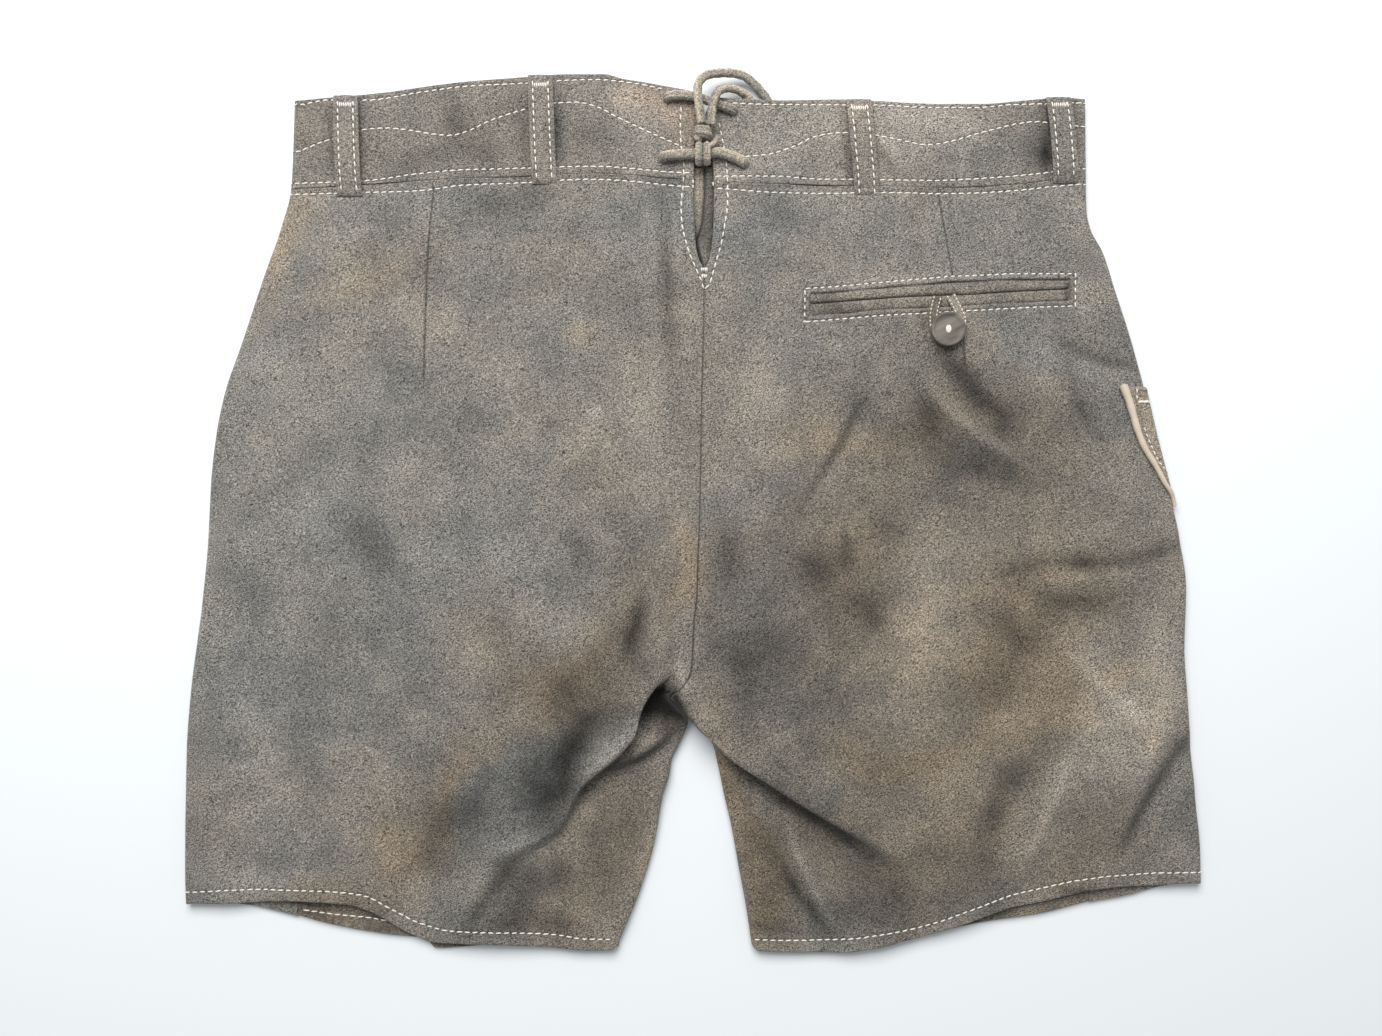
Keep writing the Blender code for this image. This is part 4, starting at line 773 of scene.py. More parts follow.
def add_mesh(name, points, faces, finish, fields, angle=50, slot="suede_grey"):
    """A piece from points in millimetres, with its named fields."""
    mesh = bpy.data.meshes.new(own_name(name, slot))
    mesh.from_pydata((points * MM).tolist(), [], faces)
    mesh.materials.append(finish)
    for field, values in {**PLAIN_FIELDS, **fields}.items():
        spread = np.broadcast_to(np.ravel(values), len(points))
        mesh.attributes.new(field, "FLOAT", "POINT").data.foreach_set(
            "value", np.ascontiguousarray(spread, np.float32))
    mesh.shade_smooth()
    mesh.set_sharp_from_angle(angle=math.radians(angle))
    return said(placed(mesh.name, mesh), name)


def facing_out(points, faces):
    """The faces, all turned over if they enclose their volume from the inside."""
    first, second, third, fourth = (points[faces[:, i]] for i in range(4))
    volume = (first * np.cross(second, third)).sum() + (first * np.cross(third, fourth)).sum()
    return faces if volume > 0 else faces[:, ::-1]


def grid_normals(grid, row, column, way):
    """Directions out of a grid of points. The one at row, column points up if way is 1, and down if it is -1."""
    normals = unit(np.cross(np.gradient(grid, axis=1), np.gradient(grid, axis=0)))
    return -normals if normals[row, column, 2] * way < 0 else normals


def shell(name, outer, facing, thickness, finish, fields, kept=None, slot="suede_grey"):
    """A closed wall of cloth between a grid of outer points and the same grid moved in by the thickness.

    facing is the ways out of the grid, or a (row, column, way) that tells them. kept says which cells of the
    grid are cloth, where some are cut away."""
    normals = grid_normals(outer, *facing) if len(facing) == 3 else facing
    shape = outer.shape[:2]
    inner = outer - normals * np.broadcast_to(thickness, shape)[..., None]
    index = np.arange(outer[..., 0].size).reshape(shape)
    quads = np.stack([index[:-1, :-1], index[:-1, 1:], index[1:, 1:], index[1:, :-1]], -1)
    quads = quads[kept] if kept is not None else quads.reshape(-1, 4)
    used, quads = np.unique(quads, return_inverse=True)
    quads = quads.reshape(-1, 4)
    count = len(used)
    edges = np.concatenate([np.stack([quads[:, i], quads[:, (i + 1) % 4]], -1) for i in range(4)])
    _, first, uses = np.unique(np.sort(edges, axis=1), axis=0, return_index=True, return_counts=True)
    start, end = edges[first[uses == 1]].T
    sides = np.stack([end, start, start + count, end + count], -1)
    points = np.concatenate([outer.reshape(-1, 3)[used], inner.reshape(-1, 3)[used]])
    faces = facing_out(points, np.concatenate([quads, quads[:, ::-1] + count, sides]))
    both = {field: np.tile(np.broadcast_to(values, shape).ravel()[used], 2) for field, values in fields.items()}
    return add_mesh(name, points, faces.tolist(), finish, both, slot=slot)


def between_rings(rings, count, closed=False):
    """Faces that join rings of points, with so many points in each."""
    faces = []
    for i in range(rings if closed else rings - 1):
        a, b = i * count, (i + 1) % rings * count
        faces += [(a + j, a + (j + 1) % count, b + (j + 1) % count, b + j) for j in range(count)]
    return faces


def skin(name, rings, finish, fields, slot, closed=False, tips=None):
    """A skin over rings of points. Its ends are flat, or run to two tips, unless it closes on itself."""
    count = rings.shape[1]
    points = rings.reshape(-1, 3)
    faces = facing_out(points, np.array(between_rings(len(rings), count, closed))).tolist()
    flipped = faces[0][0] != 0
    for end in () if closed else (0, 1):
        ring = [end * (len(points) - count) + j for j in range(count)]
        if tips is None:
            caps = [ring]
        else:
            caps = [(len(points) + end, ring[j], ring[(j + 1) % count]) for j in range(count)]
        faces += [cap if flipped == (end == 0) else cap[::-1] for cap in caps]
    if tips is not None:
        points = np.concatenate([points, tips])
        fields = {field: np.append(spread.ravel(), (spread[0].mean(), spread[-1].mean()))
                  for field, spread in fields.items()}
    return add_mesh(name, points, faces, finish, fields, slot=slot)


def sweep(name, path, side, up, section, finish, fields, closed=False, slot="suede_grey"):
    """A closed section (aside, above) carried along a path."""
    rings = path[:, None] + side[:, None] * section[None, :, :1] + up[:, None] * section[None, :, 1:]
    return skin(name, rings, finish, fields, slot, closed)


def angle_from(angle, degrees):
    return np.angle(np.exp(1j * (angle - math.radians(degrees))))


def tube(name, route, radius, finish, count, sides=14, groove=None, tan=None, slot="suede_grey"):
    """A rolled strip of suede along a route, and its route in metres.

    Angles go round it from its right side, 0, over its top, 90. A groove is the angle where the strip's edges
    meet, and tan is the angle and width of its paler tan side: partly worn suede, and partly a painted highlight
    where the light falls on the strip's upper side."""
    path = curve_through(route, count)
    run = along_path(path)
    side = np.zeros(path.shape)
    side[0] = unit(np.cross(run[0], (0, 0, 1)))
    for i in range(1, count):
        side[i] = unit(side[i - 1] - run[i] * np.dot(side[i - 1], run[i]))
    up = np.cross(side, run)
    radius = np.broadcast_to(radius, count).astype(float)
    station = np.arange(count)
    lump = 1 + 0.05 * np.sin(station * 0.9) + 0.03 * np.sin(station * 2.3 + 1)
    rings = np.zeros((count, sides, 3))
    worn = np.zeros((count, sides))
    meeting = np.full((count, sides), PLAIN_FIELDS["seam"])
    for j, angle in enumerate(np.linspace(0, 2 * math.pi, sides, endpoint=False)):
        size = radius * lump
        if groove is not None:
            off = angle_from(angle, groove)
            size = size * (1 - 0.24 * math.exp(-((off / 0.32) ** 2)))
            meeting[:, j] = abs(off) * radius
        # the tan side: worn suede, and a painted highlight where the light falls on the strip's top
        if tan is not None:
            worn[:, j] = math.exp(-((angle_from(angle, tan[0]) / math.radians(tan[1])) ** 2))
        rings[:, j] = path + (side * math.cos(angle) + up * math.sin(angle)) * size[:, None]
    tips = [path[0] - run[0] * radius[0] * 0.55, path[-1] + run[-1] * radius[-1] * 0.55]
    return skin(name, rings, finish, {"warmth": worn, "seam": meeting}, slot, tips=tips), path * MM


def stitches(name, runs, finish):
    """Separate stitches along runs of (points, normals), as one mesh of small bent beads of thread."""
    length, pitch, thread, seed = STITCHES[name]
    rng = np.random.default_rng(seed)
    fullness = (0.55, 0.95, 1.0, 0.95, 0.55)
    sides = 6
    bead = [*between_rings(5, sides), tuple(range(sides))[::-1], tuple(range(4 * sides, 5 * sides))]
    points = []
    faces = []
    for path, normals in runs:
        gone = lengths_along(path)
        for place in np.arange(pitch * 0.5, gone[-1], pitch):
            middle, ahead, behind = (sampled(path, gone, place + off) for off in (0, 0.8, -0.8))
            up = unit(sampled(normals, gone, place))
            run = unit(ahead - behind)
            run = unit(run + np.cross(up, run) * rng.normal(0.07, 0.05))
            side = np.cross(up, run)
            long = length * rng.uniform(0.86, 1.12)
            faces += [tuple(len(points) + corner for corner in face) for face in bead]
            for station, full in zip(np.linspace(-0.5, 0.5, 5), fullness):
                sink = 0.30 * (2 * abs(station)) ** 3
                core = middle + run * station * long + up * (0.12 - sink) + side * rng.normal(0, 0.03)
                size = thread * full
                for j in range(sides):
                    angle = 2 * math.pi * j / sides
                    points.append(core + side * math.cos(angle) * size + up * math.sin(angle) * size * 0.8)
    return add_mesh(name, np.array(points), faces, finish, {}, angle=80, slot="thread_cream")


# Materials

class Value:
    """A number inside a material, on which sums can be written."""

    def __init__(self, finish, socket):
        self.finish = finish
        self.socket = socket

    def maths(self, operation, *others):
        return self.finish.node("ShaderNodeMath", {"operation": operation}, dict(enumerate((self, *others))))

    def __add__(self, other):
        return self.maths("ADD", other)

    def __sub__(self, other):
        return self.maths("SUBTRACT", other)

    def __rsub__(self, other):
        return (self * -1) + other

    def __mul__(self, other):
        return self.maths("MULTIPLY", other)

    def clamped(self):
        return self.maths("MAXIMUM", 0.0).maths("MINIMUM", 1.0)

    def bell(self, width):
        """1 at 0, and down to 0 over this width."""
        return (self * self * (-1 / width**2)).maths("EXPONENT")


class Finish:
    """A material and the few kinds of node that the finishes here are made of."""

    def __init__(self, name, roughness, **constants):
        self.material = bpy.data.materials.new(name)
        self.material.use_nodes = True
        self.tree = self.material.node_tree
        self.shader = self.tree.nodes["Principled BSDF"]
        for socket, value in {"Roughness": roughness, **constants}.items():
            self.shader.inputs[socket.replace("_", " ")].default_value = value
        self.place = self.node("ShaderNodeTexCoord", {}, {}, "Object")

    def node(self, kind, settings, sockets, output=0):
        made = self.tree.nodes.new(kind)
        for setting, value in settings.items():
            setattr(made, setting, value)
        for socket, value in sockets.items():
            self.feed(made.inputs[socket], value)
        return Value(self, made.outputs[output])

    def feed(self, socket, value):
        if isinstance(value, Value):
            self.tree.links.new(value.socket, socket)
        else:
            socket.default_value = value

    def field(self, name):
        return self.node("ShaderNodeAttribute", {"attribute_name": name}, {}, "Fac")

    def noise(self, scale, detail=2.0, roughness=0.5, place=None):
        """Noise around 0, with its grain given in grains to the metre."""
        made = self.node("ShaderNodeTexNoise", {}, {"Vector": place or self.place, "Scale": scale,
                                                     "Detail": detail, "Roughness": roughness}, "Fac")
        return made - 0.5

    def brushed(self, turn, stretch):
        """The place, for a pattern that is drawn out along a line turned this far from left to right."""
        return self.node("ShaderNodeMapping", {"vector_type": "TEXTURE"},
                         {"Vector": self.place, "Rotation": (0, 0, math.radians(turn)),
                          "Scale": (stretch, 1.0, 1.0)})

    def blend(self, first, second, amount):
        return self.node("ShaderNodeMix", {"data_type": "RGBA"},
                         {0: amount, 6: (*first, 1), 7: (*second, 1)}, 2)

    def shaded(self, colour, amount):
        return self.node("ShaderNodeVectorMath", {"operation": "SCALE"}, {0: colour, "Scale": amount})

    def done(self, colour, height=None):
        """The material, with its colour, and with a relief whose height is in millimetres."""
        self.feed(self.shader.inputs["Base Color"], colour)
        if height is not None:
            bump = self.node("ShaderNodeBump", {}, {"Height": height, "Distance": MM}, "Normal")
            self.feed(self.shader.inputs["Normal"], bump)
        return self.material


def suede(name):
    """Brushed suede: mottled between two dyes, with a short nap, and painted shade in the grooves where it is sewn,
    in its seams and along its dark lines.
    """
    cool, warm, grain, brush = SUEDES[name]
    finish = Finish(name, 0.95, Specular_IOR_Level=0.18, Sheen_Weight=0.22, Sheen_Roughness=0.55,
                    Sheen_Tint=SHEEN)
    brushed = finish.brushed(brush, 1.45)
    grit = finish.noise(1800, 1.0)
    nap = finish.noise(1150, 2.0, 0.6, brushed)
    tuft = finish.noise(210, 2.0, 0.6)
    cloud = finish.noise(42, 3.0, 0.5)
    drift = finish.noise(15, 2.0)
    groove = finish.field("sewn").bell(0.85)
    seam = finish.field("seam").bell(0.5)
    soft = finish.field("seam").bell(2.2)
    warmth = (finish.field("warmth") + 0.24 + drift * 0.8 + cloud * 0.5 + tuft * 0.1).clamped()
    light = (finish.field("lightness") + 1.0 + cloud * 0.80 + drift * 0.42 + tuft * 0.20).maths("MAXIMUM", 0.1)
    light = light * ((nap * 2.7 + grit * 3.3) * grain + 1.0).maths("MAXIMUM", 0.15)
    # painted shade in the grooves of the sewing and in the seams
    light = light * (1 - groove * 0.20) * (1 - seam * 0.16) * (1 - soft * 0.04)
    # painted shade along the dark lines: darts, the centre seam, the gusset's fold and the slit's edges
    line = finish.field("line").bell(0.6)
    light = (light * (1 - line * 0.55)).maths("POWER", 1.15)
    return finish.done(finish.shaded(finish.blend(cool, warm, warmth), light),
                       nap * (0.60 * grain) + grit * (0.30 * grain) + tuft * 0.40
                       - groove * 0.42 - seam * 0.20 - line * 0.45)


def horn(name):
    """Dark grey horn, polished, with slanting streaks."""
    finish = Finish(name, 0.58, Specular_IOR_Level=0.35, Coat_Weight=0.06, Coat_Roughness=0.35)
    streak = finish.noise(260, 3.0, 0.6, finish.brushed(24, 6.0))
    band = finish.noise(90, 2.0, 0.5, finish.brushed(24, 9.0))
    amount = (streak * 1.6 + band * 2.2 + 0.5).clamped()
    return finish.done(finish.blend(HORN_DARK, HORN_PALE, amount), streak * 0.22 + band * 0.3)


def smooth_leather(name, colour, worn):
    """Piping: smooth leather, mottled between its two colours."""
    finish = Finish(name, 0.6, Specular_IOR_Level=0.35)
    grain = finish.noise(900, 2.0, 0.6)
    patch = finish.noise(70, 2.0)
    amount = (patch * 1.6 + grain * 0.5 + 0.45).clamped()
    return finish.done(finish.blend(colour, worn, amount), grain * 0.12 + patch * 0.2)


def cotton(name, colour):
    """Thick cotton thread, twisted."""
    finish = Finish(name, 0.75, Specular_IOR_Level=0.3, Sheen_Weight=0.3)
    ply = finish.noise(1900, 2.0, 0.6, finish.brushed(40, 3.0))
    soil = finish.noise(60, 2.0)
    return finish.done(finish.shaded(colour, ply * 0.4 + soil * 0.3 + 1.0), ply * 0.25)


# Camera, floor and light

def look_down():
    """A camera straight above the garment."""
    view = bpy.data.cameras.new("view")
    view.lens = LENS
    view.sensor_width = SENSOR
    view.sensor_fit = "HORIZONTAL"
    view.clip_start = 0.02
    camera = placed("view", view)
    height = LIE_HEIGHT + VIEW_WIDTH * LENS / SENSOR
    camera.location = (VIEW_MIDDLE[0] * MM, VIEW_MIDDLE[1] * MM, height * MM)
    bpy.context.scene.camera = camera


def studio():
    """A pale floor, a soft light from above the waist, and a pale sky."""
    mesh = bpy.data.meshes.new("floor")
    corners = ((-1, -1), (1, -1), (1, 1), (-1, 1))
    mesh.from_pydata([(x * FLOOR_HALF, y * FLOOR_HALF, FLOOR_Z) for x, y in corners], [], [(0, 1, 2, 3)])
    mesh.materials.append(Finish("floor_pale", 0.8, Specular_IOR_Level=0.2).done(FLOOR_PALE))
    placed("floor", mesh)
    lamp = bpy.data.lights.new("window_light", "AREA")
    lamp.shape = "RECTANGLE"
    lamp.size, lamp.size_y = LAMP_SIZE
    lamp.energy = LAMP_POWER
    lamp.color = WINDOW_LIGHT
    window = placed("window_light", lamp)
    window.location = LAMP_AT
    window.rotation_euler = (-Vector(window.location)).to_track_quat("-Z", "Y").to_euler()
    sky = bpy.data.worlds.new("sky")
    sky.use_nodes = True
    background = sky.node_tree.nodes["Background"]
    background.inputs["Color"].default_value = SKY_PALE
    background.inputs["Strength"].default_value = SKY_STRENGTH
    bpy.context.scene.world = sky
    bpy.context.scene.view_settings.view_transform = "Standard"


# Lace

def lace(finish):
    """The lace: a run through each pair of eyelets, two ends over the waist, and the knot with its wraps."""
    made = {name: tube(name, route, radius, finish, count, groove=groove, tan=tan)
            for name, radius, count, groove, tan, route in LACE}
    knotted = [made[name][0] for name in ("lace_wrap_1", "lace_wrap_2", "lace_knot", "lace_strand")]
    for name, far_end, pieces in (("lace_lower", "object", knotted), ("lace_upper", "object", []),
                                  ("lace_end_outer", "bare", []), ("lace_end_inner", "bare", [])):
        run, path = made[name]
        tuple(map(float, path[0]))
        round(float(lengths_along(path)[-1]), 3)
        [tuple(map(float, p)) for p in path]
        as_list(pieces)


# Body of the garment

EDGE_STEPS = np.array((0, 0.25, 0.6, 1.1, 1.8, 2.8))
FOLD_ANGLES = np.radians(np.linspace(90, -90, 13)[1:])


def spaced(runs):
    """Places in a row: each run is (end, step), and starts where the one before it ends."""
    places = [0.0]
    for end, step in runs:
        count = max(1, round((end - places[-1]) / step))
        places.extend(np.linspace(places[-1], end, count + 1)[1:])
    return np.array(places)


def settle(v, across, top, foot):
    """The points at fractions v between two edges, on a line whose place across depends on the height."""
    y = top(0.0) + (foot(0.0) - top(0.0)) * v
    for _ in range(12):
        x = across(y)
        y = top(x) + (foot(x) - top(x)) * v
    return across(y), y


def leather_panel(half, v, top, foot, flat_columns, radius, height):
    """Grid of the upper side of a panel, from its inner edge to the side fold, and then round the fold.

    It also gives the distance of each point from the inner edge, and which columns lie on top."""
    side = half.side
    flat = np.linspace(0, 1, flat_columns + 1)
    base = np.concatenate([EDGE_STEPS, np.full(len(flat), LEG_ROLL)])
    share = np.concatenate([np.zeros(len(EDGE_STEPS)), flat])

    def across(at):
        width = side * (half.fold(at) - half.inner(at)) - radius(at)
        return half.inner(at) + side * (base + share * (width - LEG_ROLL))

    x, y = settle(v, across, top, foot)
    z = height(x, y)
    fold_x, fold_y = settle(v, half.fold, top, foot)
    lift = side_lift(half, fold_x, fold_y)
    round_x = fold_x - side * radius(fold_y) * (1 - np.cos(FOLD_ANGLES))
    round_z = lift + (z[:, -1:] - lift) / 2 * (1 + np.sin(FOLD_ANGLES))
    x = np.hstack([x, round_x])
    y = np.hstack([y, fold_y + 0 * round_x])
    on_top = np.arange(x.shape[1]) < len(base)
    return x, y, np.hstack([z, round_z]), side * (x - half.inner(y)), on_top


def back_panel(half, finish):
    """A back panel: down from the waistband, over the side fold and under to the side seam."""
    side = half.side
    long = float(half.top(half.inner(WAIST_UP)) - half.hem(half.inner(HEM_UP)))
    places = spaced(((0.35, 0.4), (0.8, 0.5), (1.4, 0.6), (2.4, 1.0), (3.6, 1.2), (12, 1.5), (270, 2.6),
                     (340, 1.7), (long - 14, 2.6), (long - 9, 2.0), (long - 1.8, 1.3), (long - 0.9, 0.9),
                     (long - 0.4, 0.5), (long, 0.4)))
    v = (places / long)[:, None]

    def radius(y):
        return (LIE_HEIGHT - side_lift(half, half.fold(y), y)) / 2

    x, y, z, inward, on_top = leather_panel(half, v, half.top, half.hem, 112, radius, cloth_height)
    flat = len(EDGE_STEPS)
    rolled = 1 - ease(y, -122, -112)
    meet = inseam_height(y)
    inside = np.clip(inward / LEG_ROLL, 0, 1)
    edge_z = meet + (z[:, flat:flat + 1] - meet) * np.sqrt(1 - (1 - inside) ** 2)
    z = np.where(inward < LEG_ROLL, z + rolled * (edge_z - z), z)
    z = z - (1 - rolled) * round_off(np.maximum(inward, 0), 0.32 + 0.88 * ease(y, 139, 146))
    rounding = round_off(half.top(x) - y, 0.2) + round_off(y - half.hem(x), 1.2)
    z = z - rounding * on_top + 0.4 * ease(y - half.top(x), -2.6, -0.4) * z / LIE_HEIGHT
    lean = fold_shape(x, y)[1] * (ease(inward, 0, 10) * (1 - ease(y, -60, -40)) * on_top)[..., None]
    upper = points_of(x + lean[..., 0], y + lean[..., 1], z)
    share = np.linspace(0, 1, 19)[1:]

    def under(at):
        return half.fold(at) - side * (radius(at) + (SIDE_WRAP - radius(at)) * share)

    under_x, under_y = settle(v, under, half.top, half.under_hem)
    under_z = side_lift(half, under_x, under_y) + under_height(under_x, under_y) * ease(share, 0, 0.3)
    outer = np.concatenate([upper, points_of(under_x, under_y, under_z)], 1)
    from_hem = np.hstack([y, under_y]) - np.hstack([half.hem(x), half.under_hem(under_x)])
    # painted shade in the troughs of the creases, darker the deeper they are
    shade = TROUGH_PAINTED_SHADE * np.minimum(crease_height(CREASES, x, y), 0)
    centre = np.where((y < 140) & (y > -112), np.maximum(inward, 0), PLAIN_FIELDS["seam"])
    line = beside_darts(x, y)
    # the panel's lightness carries the painted shade and light of the strokes, the lines and the troughs
    fields = with_under(
        {**dye_and_painted_light(STROKES, x, y, PAINTED_SHADE_LINES, lighter=shade), "sewn": distance_to(PANEL_SEWING, x, y),
         "seam": np.minimum(centre, np.where(inward > 1, half.top(x) - y + 0.2, PLAIN_FIELDS["seam"])),
         "line": np.where(abs(line) < centre, line, centre + 0.12 + 0.36 * ease(y, -30, 10))},
        {**dye_and_painted_light(STROKES, -under_x, under_y),
         "sewn": np.minimum(abs(under_y - half.under_hem(under_x) - HEM_TURN + 1),
                            abs(half.top(under_x) - UNDER_SEWING - under_y))}, under_x.shape)
    return shell("back_" + half.name, outer, (40, 60, 1), hem_wall(from_hem), finish, fields)


def front_panel(half, finish):
    """A front panel, on the underside between the side seam and the centre front and inseam."""
    side = half.side
    steps = np.array((0, 0.5, 1.2, 2.4))
    share = np.concatenate([np.zeros(len(steps)), np.linspace(0, 1, 38)])
    base = np.concatenate([steps, np.full(38, LEG_ROLL)])
    flap_side = CENTRE_FRONT + side * (FLAP_HALF + SEAM_GAP)
    flap_column = len(steps) + 14
    turn = share[flap_column]

    def across(at):
        inner = half.front_inner(at)
        whole = half.fold(at) - side * (SIDE_WRAP + SEAM_GAP)
        straight = inner + side * base + share * (whole - inner - side * LEG_ROLL)
        beside_flap = inner + side * base + share / turn * (flap_side - inner - side * LEG_ROLL)
        bent = np.where(share <= turn, beside_flap,
                        flap_side + (share - turn) / (1 - turn) * (whole - flap_side))
        return straight + ease(at, FLAP_BASE - 30, FLAP_BASE) * (bent - straight)

    def flap_foot(x):
        return FLAP_BASE + 0 * x

    above = np.linspace(0, 1, 45)[:, None]
    below = spaced([(1 - up / FRONT_LONG, step / FRONT_LONG)
                    for up, step in ((16, 4.5), (9, 2), (0, 1.5))])[1:, None]
    upper = settle(above, across, half.top, flap_foot)
    lower = settle(below, across, flap_foot, half.under_hem)
    x, y = (np.vstack(part) for part in zip(upper, lower))
    inward = np.clip(side * (x - half.front_inner(y)) / LEG_ROLL, 0, 1)
    edge = (inseam_height(y) - SEAM_GAP) * (1 - ease(y, -112, -96))
    from_hem = y - half.under_hem(x)
    z = edge * (1 - np.sqrt(1 - (1 - inward) ** 2)) + under_height(x, y) * ease(inward, 0.5, 1.0)
    outer = points_of(x, y, z + round_off(from_hem, 0.8))
    cells = np.ones((len(x) - 1, x.shape[1] - 1), bool)
    cells[:len(above) - 1, :flap_column] = False
    shade = ease(from_hem, 40, 4)
    fields = {**dye_and_painted_light(STROKES, y * 0.9, x, share=UNDER_DYE, warmer=0.45 * shade, lighter=-0.24 * shade),
              "sewn": np.minimum(abs(from_hem - HEM_TURN + 1), abs(half.top(x) - UNDER_SEWING - y)),
              "seam": np.where((y < FLAP_BASE) & (y > -96), abs(side * (x - half.front_inner(y))),
                               PLAIN_FIELDS["seam"])}
    return shell("front_" + half.name, outer, (60, 30, -1), hem_wall(from_hem), finish, fields, cells)


def front_flap(finish):
    """The drop front between the two front panels, seen from below."""
    x = np.linspace(CENTRE_FRONT - FLAP_HALF, CENTRE_FRONT + FLAP_HALF, 61)[None, :]
    top = flap_top(x)
    share = np.linspace(0, 1, 91)[:, None]
    y = FLAP_BASE + SEAM_GAP + (top - FLAP_BASE - SEAM_GAP) * share
    x = x + 0 * y
    edge = np.minimum(np.minimum(FLAP_HALF - abs(x - CENTRE_FRONT), top - y), y - FLAP_BASE - SEAM_GAP)
    outer = points_of(x, y, round_off(edge, 0.6) + under_height(x, y) * 0.5)
    fields = {**dye_and_painted_light(STROKES, y, -x, share=UNDER_DYE), "sewn": abs(edge - FLAP_SEWING)}
    return shell("front_flap", outer, (40, 30, -1), LEATHER, finish, fields)


def waistband(half, finish):
    """Half of the waistband, from the lacing slit round the side fold to the centre front."""
    side = half.side
    long = BAND_DEPTH
    places = spaced(((0.25, 0.25), (0.6, 0.35), (1.1, 0.5), (2, 0.9), (6, 1.0), (long - 6, 1.6),
                     (long - 2, 1.0), (long - 1.1, 0.9), (long - 0.6, 0.5), (long - 0.25, 0.35), (long, 0.25)))
    v = (places / long)[:, None]
    x, y, z, inward, on_top = leather_panel(half, v, half.waist, half.top, 140, lambda y: BAND_RADIUS + 0 * y,
                                            band_height)
    z = z - (round_off(half.waist(x) - y, 1.1) + round_off(y - half.top(x), 0.4)
             + round_off(np.maximum(inward, 0), 1.2)) * on_top
    step_foot = CENTRE_FRONT + side * (FLAP_HALF + FLAP_STEP)
    flap_edge = CENTRE_FRONT + side * (FLAP_HALF + 2)
    share = np.linspace(0, 1, 36)[1:]

    def under(at):
        start = half.fold(at) - side * BAND_RADIUS
        return start + (step_foot - start) * share

    flap_x = np.concatenate([np.linspace(step_foot, flap_edge, 6)[1:],
                             np.linspace(flap_edge, CENTRE_FRONT + side * SEAM_GAP, 20)[1:]])
    beside, behind = (settle(v, across, half.front_waist, half.top)
                      for across in (under, lambda at: flap_x + 0 * at))
    under_x, under_y = (np.hstack(part) for part in zip(beside, behind))
    under_z = (band_step(under_x) + round_off(half.front_waist(under_x) - under_y, 0.8)
               + round_off(under_y - half.top(under_x), 0.6))
    outer = np.concatenate([points_of(x, y, z), points_of(under_x, under_y, under_z)], 1)
    # the band's lightness: dye, with painted light and shade along lines and painted shade at the eyelets
    band_dye_and_shade = dye_and_painted_light(BAND_STROKES, x, y, BAND_PAINTED_SHADE_LINES)
    fields = with_under(
        {**band_dye_and_shade, "lightness": at_eyelets(band_dye_and_shade["lightness"], x, y, EYELET_SHADE, 4),
         "sewn": distance_to(BAND_SEWING, x, y),
         "seam": np.where(inward > 1, y - half.top(x) + 0.2, PLAIN_FIELDS["seam"])},
        {"warmth": 0.1, "sewn": np.minimum(abs(half.front_waist(under_x) - BAND_UNDER_TOP - under_y),
                                           abs(under_y - half.top(under_x) - BAND_UNDER_FOOT))}, under_x.shape)
    return shell("waistband_" + half.name, outer, (10, 60, 1), BAND_WALL, finish, fields)


def slit_gusset(finish):
    """The folded gusset behind the lacing slit: two strips with a fold between them, tapering to a point."""
    fold_line = smooth_line(GUSSET_FOLD)
    half_width = smooth_line(GUSSET_HALF_WIDTH)
    y = np.linspace(199, 132, 68)[:, None]
    share = np.array((-1, -0.7, -0.45, -0.3, -0.2, -0.12, -0.06, -0.02,
                      0.02, 0.05, 0.1, 0.2, 0.3, 0.45, 0.7, 1.0))
    profile = np.interp(share, *GUSSET_SECTION.T)
    off = share * half_width(y)
    x = fold_line(y) + off
    outer = points_of(x, y, profile + lacing_rise(LACING_X + 0 * y, y))
    tan_side = ease(share, 0.01, -0.01)
    beside = np.minimum(abs(x - LEFT.inner(y)), abs(x - RIGHT.inner(y)))
    shade = 0.42 * bell(beside, 1.4) + 0.45 * tan_side * ease(y, 172, 152) + 0.5 * bell(off + 0.4, 0.8)
    fields = {"warmth": 0.35 * tan_side * ease(y, 150, 180) - 0.2,
              "lightness": 0.42 * tan_side - 0.40 + 0.20 * ease(y, 162, 148) * (1 - tan_side) - shade,
              "line": off}
    return shell("slit_gusset", outer, (30, 3, 1), 0.9, finish, fields, slot="suede_tan")


def belt_loop_line(row, out=0.0):
    """The middle line of a belt loop's outer face, from just inside the waist down to its foot."""
    top_across, foot_across, foot = row
    top = float((LEFT if top_across < LACING_X else RIGHT).waist(top_across)) - 0.4
    t = np.linspace(0, 1, 40)
    x = top_across + (foot_across - top_across) * t
    y = top + (foot - top) * t
    slack = LOOP_ARCH * np.sin(math.pi * np.clip((t - 0.06) / 0.84, 0, 1)) ** 0.6
    sink = round_off((1 - t) * (top - foot), 1.3) + round_off(t * (top - foot), 1.1)
    z = BAND_HEIGHT + SEAM_GAP + LOOP_WALL + slack + lacing_rise(x, y) - sink - 1.0 * ease(t, 0.86, 0.97)
    return points_of(x, y, z + out)


def loop_normals(path):
    """The ways out of a belt loop along its middle line."""
    up = unit(np.cross((1.0, 0, 0), along_path(path)))
    return np.where(up[:, 2:] < 0, -up, up)


def belt_loop(number, row, finish):
    """A belt loop from the top of the waistband to just below its seam, with its foot pressed down towards the
    panel.
    """
    path = belt_loop_line(row)
    aside = LOOP_SECTION[:, 0]
    x = path[:, :1] + aside
    # the loops take the band's strokes, with their painted light and shade
    fields = {**dye_and_painted_light(BAND_STROKES, x + 14, path[:, 1:2] + 0 * x - 9, lighter=0.04),
              "sewn": abs(abs(aside) - LOOP_SEWING) + 0 * x}
    side = np.tile((1.0, 0, 0), (len(path), 1))
    return sweep(f"belt_loop_{number}", path, side, loop_normals(path), LOOP_SECTION, finish, fields)


# Pocket and its button

